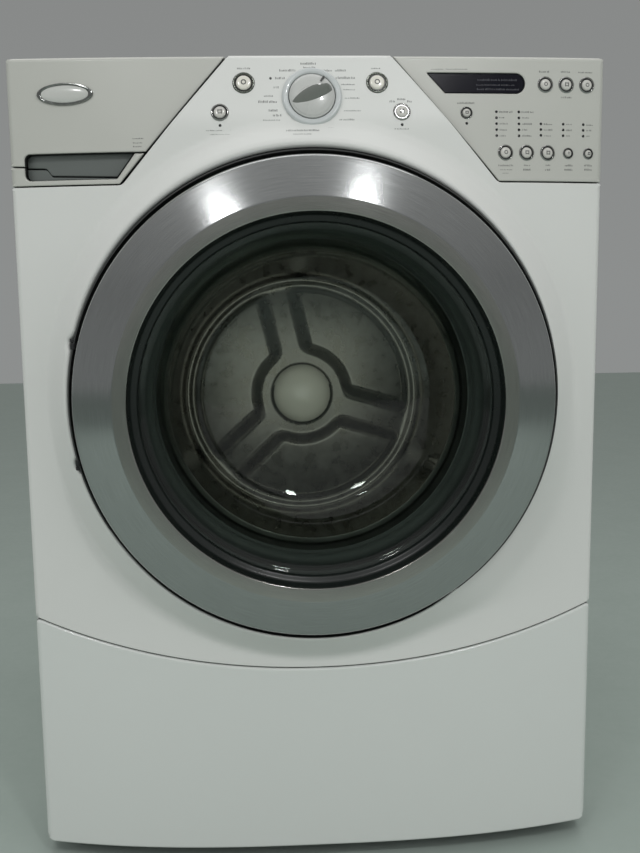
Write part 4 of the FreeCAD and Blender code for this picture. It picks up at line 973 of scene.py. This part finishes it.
HOLE_COLUMNS = 36
HOLE_ROWS = range(70, 395, 36)


def drum_holes():
    """Rows of drain holes round the drum's inner wall."""
    parts = []
    for row, along in enumerate(HOLE_ROWS):
        for column in range(HOLE_COLUMNS):
            angle = math.tau * (column + 0.5 * (row % 2)) / HOLE_COLUMNS
            radial = Vector((math.cos(angle), 0, math.sin(angle)))
            across = Vector((-math.sin(angle), 0, math.cos(angle)))

            def place(v):
                return tilted_place(radial * (DRUM_RADIUS - DRUM_SHEET + v.y) + across * v.x
                                    + Vector((0, along + v.z, 0)))

            # Black discs on the wall stand for the holes; their black is painted shade in the
            # holes.
            parts.append(slab_part(circle_outline(0, 0, 1.9, 10), -0.4, 0.35, place))
    settle(merged("drum_holes", parts, BLACK_MATT, "drum"), "drum_steel")


drum_holes()


def smooth_line(points, pitch):
    """Close-set points on a smooth curve through the given ones."""
    knots = [Vector(p) for p in points]
    knots = [knots[0] * 2 - knots[1]] + knots + [knots[-1] * 2 - knots[-2]]
    line = []
    for a, b, c, d in zip(knots, knots[1:], knots[2:], knots[3:]):
        pieces = max(4, round((c - b).length / pitch))
        for t in (step / pieces for step in range(pieces)):
            line.append(0.5 * (2 * b + (c - a) * t + (2 * a - 5 * b + 4 * c - d) * t * t
                               + (3 * b - a - 3 * c + d) * t ** 3))
    return line + [knots[-2]]


def corrugated_hose(name, points, outer, inner):
    """Ribbed rubber hose on a fixed curve between the cabinet and the moving tub."""
    steps = 40
    rib_depth, rib_pitch, plain_end = 1.3, 7.5, 16
    line = smooth_line(points, 1.6)
    total = sum((q - p).length for p, q in zip(line, line[1:]))
    side = Vector((1, 0, 0))
    gone = 0.0
    rings = []
    for before, spot, after in zip(line[:1] + line, line, line[1:] + line[-1:]):
        ahead = (after - before).normalized()
        side = (side - ahead * side.dot(ahead)).normalized()
        gone += (spot - before).length
        ribbed = min(gone, total - gone) > plain_end
        rib = rib_depth * (1 - math.cos(math.tau * gone / rib_pitch)) if ribbed else 0.0
        rings.append([(spot, side, ahead.cross(side), radius) for radius in (outer - rib, inner)])
    loop = [ring[0] for ring in rings] + [ring[1] for ring in rings[::-1]]
    verts = [spot + (side * v.x + rise * v.z) * radius for spot, side, rise, radius in loop
             for v in round_points(1.0, 0.0, steps)]
    hose = merged(name, [(verts, band_faces(len(loop), steps))], RUBBER_BLACK, "blended", 60)
    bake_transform(hose)
    settle(hose, "rubber_black", "tub_hoses")


corrugated_hose("fill_hose_ribbed", [(-262, -70, 836), (-262, -70, 822), (-240, -66, 800),
                                     (-196, -60, 775), (-168, -58, 748)], 16.5, 13.5)
corrugated_hose("sump_hose_ribbed", [(0, -20, 280), (0, -24, 252), (40, -70, 215),
                                     (130, -150, 190), (170, -175, 170), (170, -175, 154)], 19, 15)

SHEET_FACE, COVER_FACE = 387.2, 393.2
REAR_SCREWS = [(side * 331, z, SHEET_FACE) for side in (-1, 1)
               for z in (60, 232, 404, 576, 748, 925)]
REAR_SCREWS += [(x, z, SHEET_FACE) for x in (-165, 0, 165) for z in (44, 931)]
REAR_SCREWS += [(224 * math.cos(turn), 540 + 224 * math.sin(turn), COVER_FACE)
                for turn in (eighth * math.pi / 4 + 0.39 for eighth in range(8))]


def rear_screws():
    """Hex washer-head screws that hold the rear sheet and its round cover."""
    parts = []
    for x, z, y in REAR_SCREWS:
        def place(v):
            return Vector((x + v.x, y - v.y, z + v.z))
        parts.append(turned_part([(0.3, 0, 0), (0.3, 6.0, 0), (-0.9, 5.6, 0.3), (-1.1, 0, 0)],
                                 place, 28))
        parts.append(slab_part(circle_outline(0, 0, 4.0, 6), 0.6, 3.0, place))
    settle(merged("rear_screws", parts, ZINC, "cabinet"), "zinc")


rear_screws()

HUB_RADIUS = 47.0
PETALS = 3
PETAL_TURN = math.radians(103)
BACK_ALONG = 404.0


def eased(t):
    return t * t * (3 - 2 * t)


def petal_height(radius, angle):
    """How far the drum's back stands forward: hub dome, lobes and an outer roll."""
    turn = (angle - PETAL_TURN) % (math.tau / PETALS) - math.pi / PETALS
    hub = 30.0 * np.sqrt(np.clip(1 - (radius / HUB_RADIUS) ** 2, 0, 1))
    lobe = np.minimum(np.clip((radius - 62.0) / 20.0, 0, 1), np.clip((172.0 - radius) / 14.0, 0, 1))
    side = np.clip((math.pi / PETALS - np.abs(turn)) * radius - 12.0, 0, 26) / 26
    rim = 6.0 * np.exp(-((radius - 182.0) / 7.0) ** 2)
    return hub + 17.0 * eased(lobe) * eased(side) + rim


def drum_embossed_back():
    """Pressed back of the drum: a front sheet and a back sheet joined at the rim."""
    steps, first = 360, 0.5
    radii = np.concatenate([[0.0], np.linspace(first, 248.0, 124)])
    angles = np.linspace(0, math.tau, steps, endpoint=False)
    grid_r, grid_a = np.meshgrid(radii, angles, indexing="ij")
    along = BACK_ALONG - petal_height(np.maximum(grid_r, first), grid_a)
    front = np.stack([grid_r * np.cos(grid_a), along, grid_r * np.sin(grid_a)], axis=-1)
    rows = np.concatenate([front, front[::-1] + (0, DRUM_SHEET, 0)])
    placed = [tilted_place(Vector(v)) for v in rows.reshape(-1, 3).tolist()]
    # The pressing's near-black steel is painted shade deep inside the drum.
    return merged("drum_back_pressing", [(placed, band_faces(len(rows), steps, closed=False))],
                  PETAL_STEEL_PAINTED_SHADE, "drum", 60)


pressing = drum_embossed_back()
HUB_CENTRE = tilted_place(Vector((0, 390, 0)))
# The hub dome takes the bright cream, brightened beyond the cap's colour as painted light on the
# dome.
split_look(pressing, HUB_CREAM_PAINTED_LIGHT, lambda p: math.hypot(p.x, p.z - HUB_CENTRE.z) < HUB_RADIUS - 1.5)
settle(pressing, "drum_steel")


def lifter(index):
    """Hollow fin with a rounded crown, lying along the drum wall."""
    rows, width = 26, 25
    half_width, height, foot = 24.0, 44.0, 248.6
    start, length = 72.0, 316.0
    turn = Matrix.Rotation(math.radians(120 * index + 60), 3, "Y")
    verts = []
    for part in (row / (rows - 1) for row in range(rows)):
        taper = math.sin(math.pi * (part * 0.94 + 0.03)) ** 0.35
        for angle in (step / (width - 1) * math.pi for step in range(width)):
            across = -half_width * math.cos(angle)
            rise = height * math.sin(angle) ** 0.7 * taper
            verts.append(tilted_place(turn @ Vector((
                across * (0.35 + 0.65 * taper), start + length * part,
                rise - math.sqrt(foot ** 2 - across ** 2)))))
    settle(merged(f"drum_lifter_{index + 1}", [(verts, capped(rows, width))], DRUM_STEEL, "drum",
                  45), "drum_steel", "drum_lifters")


for lifter_index in range(3):
    lifter(lifter_index)

# ---- controls

ICON_LEVEL = 2.45


def icon_parts(x, cap, place):
    """Generic symbols on a cap: a ring or a small square outline."""
    size, low, high = cap * 0.36, ICON_LEVEL - 0.4, ICON_LEVEL + 0.08
    if int(abs(x)) % 2:
        return [turned_part([(-high, size * 0.62, 0), (-high, size, 0), (-low, size, 0),
                             (-low, size * 0.62, 0)], place, 24)]
    return [slab_part(bar(*strip), low, high, place) for strip in (
        (0, size * 0.7, size, 0.45), (0, -size * 0.7, size, 0.45),
        (-size * 0.8, 0, 0.45, size), (size * 0.8, 0, 0.45, size))]


chrome_rings, dark_rings, shade_wells = [], [], []
for buttons, surface in ((CENTRE_BUTTONS, face_centre), (SIDE_BUTTONS, face_side)):
    for name, x, z, cap, bezel in buttons:
        place = spot_frame(surface, x, z)
        big = name in ("button_power", "button_start")
        inner = cap + 0.9
        (dark_rings if big else chrome_rings).append(turned_part([
            (1.0, bezel, 0), (-0.3, bezel, 0.3), (-1.25, bezel - 1.0, 0.8),
            (-0.9 if big else -1.25, inner + 0.8, 0.8), (0.6, inner, 0.3), (2.6, inner, 0),
            (2.6, bezel, 0)], place, 72))
        # Black ring in the groove between cap and bezel: painted shade in the groove.
        shade_wells.append(turned_part([(-0.2, cap + 0.15, 0), (-0.2, inner + 0.3, 0),
                                  (1.4, inner + 0.3, 0), (1.4, cap + 0.15, 0)], place, 48))
        cap_part = turned_part([(3.0, 0, 0), (-2.5, 0, 0), (-2.45, cap * 0.5, 2),
                                (-2.0, cap - 1.2, 1.6), (-0.6, cap, 0.8), (3.0, cap, 0)],
                               place, 64)
        settle(merged(name + "_cap", [cap_part], PEARL if big else CAP_SILVER, name + "_body"),
               "pearl_cap", name)
        settle(merged(name + "_icon", icon_parts(x, cap, place), INK, name + "_body"),
               "light_black")
settle(merged("button_rings_chrome", chrome_rings, RING_CHROME, "cabinet"), "chrome_trim",
       "button_bezels")
settle(merged("button_shade_wells", shade_wells, LAMP_BLACK, "cabinet"), "light_black")
settle(merged("button_rings_dark", dark_rings, RING_DARK, "cabinet"), "chrome_trim",
       "button_bezels")

lamps = [turned_part([(0.6, 0, 0), (-0.5, 0, 0), (-0.35, 1.1, 0.4), (0.0, 1.7, 0.2),
                      (0.6, 1.7, 0)], spot_frame(surface, x, z), 20)
         for spots, surface in ((CENTRE_LIGHTS, face_centre), (SIDE_LIGHTS, face_side))
         for x, z in spots]
settle(merged("indicator_lenses", lamps, LAMP_BLACK, "cabinet"), "light_black",
       "indicator_lights")

knob_place = spot_frame(face_centre, KNOB_X, KNOB_Z)
KNOB_FACE = [(0.0, 7.9), (10.0, 7.5), (18.5, 6.2), (23.0, 4.6), (24.4, 3.4), (25.6, 3.0)]
settle(merged("knob_skirt_dish", [turned_part([
    (6.0, 8.0, 0), (3.4, 26.4, 0), (-2.2, 26.6, 0.8), (-3.3, 28.4, 1.2), (-3.6, 32.2, 1.4),
    (-0.8, 34.0, 1.2), (0.4, 33.6, 0.5), (0.6, 30.0, 0.5), (6.0, 29.8, 0)], knob_place, 144)],
    SKIRT, "cabinet"), "silver_plastic", "knob_skirt")
settle(merged("cycle_knob_dish", [turned_part(
    [(2.5, 0, 0)] + [(-height, radius, rounding) for (radius, height), rounding in
                     zip(KNOB_FACE, (0, 6, 6, 2.5, 0.8, 0.8))] + [(-0.6, 25.8, 0.3),
                                                                  (2.5, 25.8, 0)],
    knob_place, 144)], KNOB_SILVER, "knob"), "silver_plastic", "cycle_knob")


def knob_grip():
    """Lens-shaped ridge: tall blunt end up and right, thin end down and left."""
    lean = math.radians(21)
    rows, width, ridge_step = 48, 21, 16
    ridge = ridge_step / (width - 1) * 2 - 1
    verts = []

    def add(along, across, height):
        verts.append(knob_place(Vector((
            along * math.cos(lean) - across * math.sin(lean), -height,
            along * math.sin(lean) + across * math.cos(lean)))))

    for t in (row / rows for row in range(rows + 1)):
        along = -24.0 + 47.5 * t
        bend = 1.2 * math.sin(math.pi * t)
        half_width = 8.8 * (math.sin(math.pi * min(1.0, t * 0.93 + 0.012)) ** 0.62)
        rise = 7.0 * math.sin(math.pi / 2 * min(1.0, t * 1.3)) ** 0.8
        if t > 0.88:
            rise *= 1 - ((t - 0.88) / 0.12) ** 2 * 0.75
        for position in (step / (width - 1) * 2 - 1 for step in range(width)):
            across = position * half_width + bend
            offset = abs(position - ridge) / ((1 - ridge) if position > ridge else (1 + ridge))
            base = float(np.interp(math.hypot(along, across), *zip(*KNOB_FACE))) - 0.5
            add(along, across, base + rise * (1 - offset ** (1.6 if position < ridge else 1.0)))
        for position in (1, -1):
            add(along, position * half_width + bend, 2.0)
    total = width + 2
    # Lower flank and base strips take the dark grey, partly the grip's grey and partly painted
    # shade; the upper flank takes the dish's silver as a painted highlight.
    picks = [1 if ridge_step <= step < width else 0 for step in range(total)] * rows + [0, 0]
    return tidy(make_object("cycle_knob_grip", verts, capped(rows + 1, total),
                            [GRIP_GREY_PAINTED_SHADE, KNOB_SILVER], "knob", sharp=None, picks=picks), 35)


settle(knob_grip(), "silver_plastic", "cycle_knob")
mark_angle = math.radians(57)
knob_mark = [(math.cos(mark_angle) * r - math.sin(mark_angle) * w,
              math.sin(mark_angle) * r + math.cos(mark_angle) * w)
             for r, w in ((18.0, -1.0), (25.2, -1.0), (25.2, 1.0), (18.0, 1.0))]
settle(merged("cycle_knob_mark", [slab_part(knob_mark, 2.6, 6.9, knob_place)], INK, "knob"),
       "light_black")

# blank oval badge
badge_place = spot_frame(face_side, -276.0, 924.0)


def oval_solid(name, rim_x, rim_z, levels, material):
    """Domed oval: levels are (share of the size, height) from rim to middle."""
    steps = 96
    verts = [badge_place(Vector((rim_x * part * v.x, -height, rim_z * part * v.z)))
             for part, height in levels for v in round_points(1.0, 0.0, steps)]
    settle(merged(name, [(verts, capped(len(levels), steps))], material, "drawer"),
           "badge_silver", "oval_badge")


oval_solid("oval_badge_rim", 32.0, 12.5, [
    (0.985, -1.0), (1.0, -0.4), (1.0, 0.8), (0.985, 1.8), (0.95, 2.4), (0.90, 2.5), (0.86, 2.1),
    (0.83, 1.4)], BADGE_RIM)
oval_solid("oval_badge_face", 27.4, 9.6, [
    (1.0, 0.6), (0.99, 1.6), (0.94, 2.0), (0.8, 2.6), (0.6, 3.1), (0.35, 3.45), (0.12, 3.55)],
           BADGE_FACE)

# ---- generic marks in place of printed legends

DOT = 3
TALLEST = 3.6
STROKE_GAP, WORD_GAP = 0.55, 1.3


def word_parts(surface, x, end, z, height, weight, seed):
    """Row of small strokes that fills the space of one printed word."""
    if weight == DOT:
        return [turned_part([(0.05, 0, 0), (-0.12, 0, 0), (-0.12, 1.5, 0.05), (0.05, 1.5, 0)],
                            spot_frame(surface, (x + end) / 2, z), 20)]
    rng = np.random.default_rng(seed)
    tall = min(height, TALLEST) * (0.85 if weight else 0.6)
    parts = []
    while x < end - 0.5:
        wide = float(rng.uniform(0.7, 1.25)) * (0.9 if weight else 1.1)
        short = tall * float(rng.uniform(0.55, 1.0))
        parts.append(slab_part(bar(0, (short - tall) / 2, wide * 0.36, short / 2), -0.02, 0.06,
                               spot_frame(surface, x + wide / 2, z)))
        x += wide + (STROKE_GAP if rng.random() > 0.12 else WORD_GAP)
    return parts


CENTRE_WORDS = [
    (-10.9, 7.2, 955.0, 4.0, 2), (-7.9, 6.3, 950.4, 2.4, 1), (-34.7, -16.6, 947.1, 3.2, 1),
    (-46.7, -42.9, 938.0, 3.2, 3), (-39.6, -28.6, 938.3, 3.2, 1), (-41.4, -35.4, 928.0, 3.2, 1),
    (-52.6, -42.4, 918.1, 2.4, 1), (-59.0, -37.0, 911.7, 3.6, 1), (-47.5, -36.7, 901.8, 3.2, 1),
    (-42.9, -34.0, 896.3, 3.1, 1), (-53.9, -34.5, 891.0, 2.2, 0), (-28.5, 8.0, 878.4, 4.4, 1),
    (-20.9, -0.8, 873.8, 2.4, 0), (14.1, 25.0, 947.0, 3.2, 1), (28.0, 40.2, 947.0, 3.2, 1),
    (28.5, 50.3, 938.6, 4.0, 1), (34.6, 50.0, 930.9, 2.6, 0), (36.8, 49.8, 925.0, 2.4, 0),
    (38.0, 55.1, 915.4, 2.4, 0), (36.9, 55.4, 901.1, 2.4, 0), (31.3, 48.8, 891.0, 3.2, 1),
    (18.9, 28.2, 882.4, 4.3, 1), (-81.9, -67.0, 949.5, 2.5, 1), (69.0, 80.3, 949.2, 2.1, 0),
    (-117.4, -87.7, 880.1, 2.0, 0), (-112.8, -90.9, 875.8, 1.5, 0), (93.4, 111.0, 880.9, 2.0, 0),
    (88.3, 95.1, 911.8, 3.2, 1), (97.1, 106.6, 914.3, 3.2, 1), (108.3, 114.5, 911.8, 3.2, 1)]
SIDE_WORDS = [
    (138.2, 152.6, 949.6, 1.8, 0), (154.9, 179.5, 949.7, 1.8, 0), (264.0, 276.3, 947.9, 2.7, 1),
    (290.1, 301.0, 948.1, 2.4, 1), (311.2, 328.9, 947.7, 1.9, 1), (290.9, 303.4, 919.4, 2.5, 1),
    (167.5, 187.2, 911.7, 2.7, 1), (216.2, 231.9, 902.0, 2.5, 1), (216.1, 222.5, 895.4, 2.2, 0),
    (216.7, 226.7, 888.7, 2.3, 1), (216.6, 225.9, 881.8, 2.3, 1), (216.5, 223.7, 875.0, 2.3, 1),
    (242.8, 258.0, 902.2, 2.5, 1), (243.4, 251.4, 895.6, 2.5, 0), (243.3, 255.0, 888.8, 2.6, 1),
    (243.3, 249.8, 882.1, 2.3, 1), (243.2, 254.9, 875.3, 2.3, 1), (269.6, 279.2, 888.8, 2.3, 1),
    (269.6, 279.9, 882.3, 2.5, 1), (269.6, 278.4, 875.6, 2.3, 0), (297.0, 303.7, 889.0, 2.3, 0),
    (297.0, 303.7, 882.4, 2.5, 1), (297.0, 301.5, 875.9, 2.3, 0), (321.8, 329.3, 888.6, 2.2, 0),
    (321.9, 327.9, 882.6, 2.3, 1), (322.0, 326.5, 876.1, 2.1, 0), (214.5, 231.9, 841.6, 2.7, 1),
    (216.6, 231.1, 836.6, 1.8, 0), (219.4, 227.4, 832.7, 1.4, 0), (245.1, 252.4, 841.9, 2.3, 1),
    (244.3, 253.8, 836.9, 2.8, 1), (271.7, 276.9, 842.2, 2.3, 1), (270.9, 277.6, 837.1, 2.8, 1),
    (295.7, 304.9, 842.3, 2.8, 1), (295.0, 304.9, 837.5, 2.8, 1), (320.2, 330.3, 842.8, 2.8, 1),
    (320.3, 329.6, 837.9, 2.8, 1)]
DISPLAY_WORDS = [(191.9, 238.8, 938.4, 2.9, 4), (190.4, 235.9, 932.6, 1.9, 4),
                 (191.0, 240.1, 927.8, 2.7, 4)]
DRAWER_WORDS = [(-200.8, -189.0, 873.8, 2.6, 0), (-200.5, -189.2, 869.0, 2.6, 0),
                (-200.4, -189.6, 864.9, 2.6, 0)]
for name, words, surface, body, ink in (
        ("centre_legends", CENTRE_WORDS, face_centre, "cabinet", INK),
        ("console_legends", SIDE_WORDS, face_side, "cabinet", INK),
        ("display_legends", DISPLAY_WORDS, display_face, "cabinet", DISPLAY_INK),
        ("drawer_legends", DRAWER_WORDS, face_side, "drawer", INK)):
    strokes = []
    for word_index, word in enumerate(words):
        strokes += word_parts(surface, *word, seed=word_index + 11)
    settle(merged(name, strokes, ink, body), "light_black")

# ---- stage, light and camera

def area_light(name, energy, size, at, aim, glossy=True):
    data = bpy.data.lights.new(name, "AREA")
    data.shape = "RECTANGLE"
    data.size, data.size_y = size
    data.energy = energy
    lamp = bpy.data.objects.new(name, data)
    bpy.context.scene.collection.objects.link(lamp)
    lamp.location = at
    lamp.visible_camera = False
    lamp.visible_glossy = glossy
    lamp.rotation_euler = (Vector(aim) - Vector(at)).to_track_quat("-Z", "Y").to_euler()


FLOOR_LOOK = moulded("floor_pale", (0.40, 0.47, 0.43), rough=(0.5, 0.65), grain=60.0, spread=0.01)
make_object("floor", [(-9000, -9000, 0), (9000, -9000, 0), (9000, 6000, 0), (-9000, 6000, 0)],
            [(0, 1, 2, 3)], FLOOR_LOOK, None)


def studio_world():
    """Soft room light: bright overhead, dimmer towards the horizon."""
    world = bpy.data.worlds.new("studio")
    bpy.context.scene.world = world
    world.use_nodes = True
    tree = world.node_tree
    height = node(tree, "SeparateXYZ", "Z", node(tree, "TexCoord", "Generated"))
    color = node(tree, "ValToRGB", "Color", height)
    stops = color.node.color_ramp.elements
    stops.new(0.35)
    for stop, position, tone in zip(stops, (0.0, 0.35, 1.0), (
            (0.44, 0.455, 0.45), (0.40, 0.41, 0.405), (0.74, 0.75, 0.74))):
        stop.position = position
        stop.color = (*tone, 1)
    background = tree.nodes["Background"]
    tree.links.new(color, background.inputs["Color"])
    background.inputs["Strength"].default_value = 0.60


studio_world()
area_light("lamp_left", 4.6, (0.24, 0.22), (-0.70, -1.90, 2.04), (0, -0.35, 0.6))
area_light("lamp_right", 6.0, (0.16, 0.22), (0.50, -1.90, 2.04), (0, -0.35, 0.6))
area_light("fill_right", 13, (1.4, 1.2), (1.9, -2.1, 1.15), (0.25, -0.3, 0.35), glossy=False)
area_light("fill_left", 14, (1.4, 1.4), (-2.1, -2.0, 1.30), (-0.3, -0.3, 0.45), glossy=False)
area_light("top", 14, (2.4, 1.2), (0, 0.2, 2.8), (0, 0, 0.5))
area_light("drum_glow", 0.34, (0.26, 0.20), (0.0, -0.24, 0.60), (0, 0.2, 0.56))

EYE = (-55.9, CORNER - 1191.4, 711.2)


def camera():
    """Slightly raised view from the front, a little from the left."""
    yaw, pitch, roll = (math.radians(a) for a in (-3.020, -8.179, -0.735))
    ahead = Vector((-math.sin(yaw) * math.cos(pitch), math.cos(yaw) * math.cos(pitch),
                    math.sin(pitch)))
    right = Vector((math.cos(yaw), math.sin(yaw), 0))
    up = right.cross(ahead)
    side = right * math.cos(roll) + up * math.sin(roll)
    crown = up * math.cos(roll) - right * math.sin(roll)
    data = bpy.data.cameras.new("camera")
    data.sensor_width = 36
    data.lens = 1002.9 / 853 * data.sensor_width
    thing = bpy.data.objects.new("camera", data)
    bpy.context.scene.collection.objects.link(thing)
    turn = Matrix((side, crown, -ahead)).transposed()
    thing.matrix_world = Matrix.Translation(Vector(EYE) * MM) @ turn.to_4x4()
    bpy.context.scene.camera = thing


camera()
bpy.context.scene.view_settings.view_transform = "Standard"

bpy.context.view_layer.update()
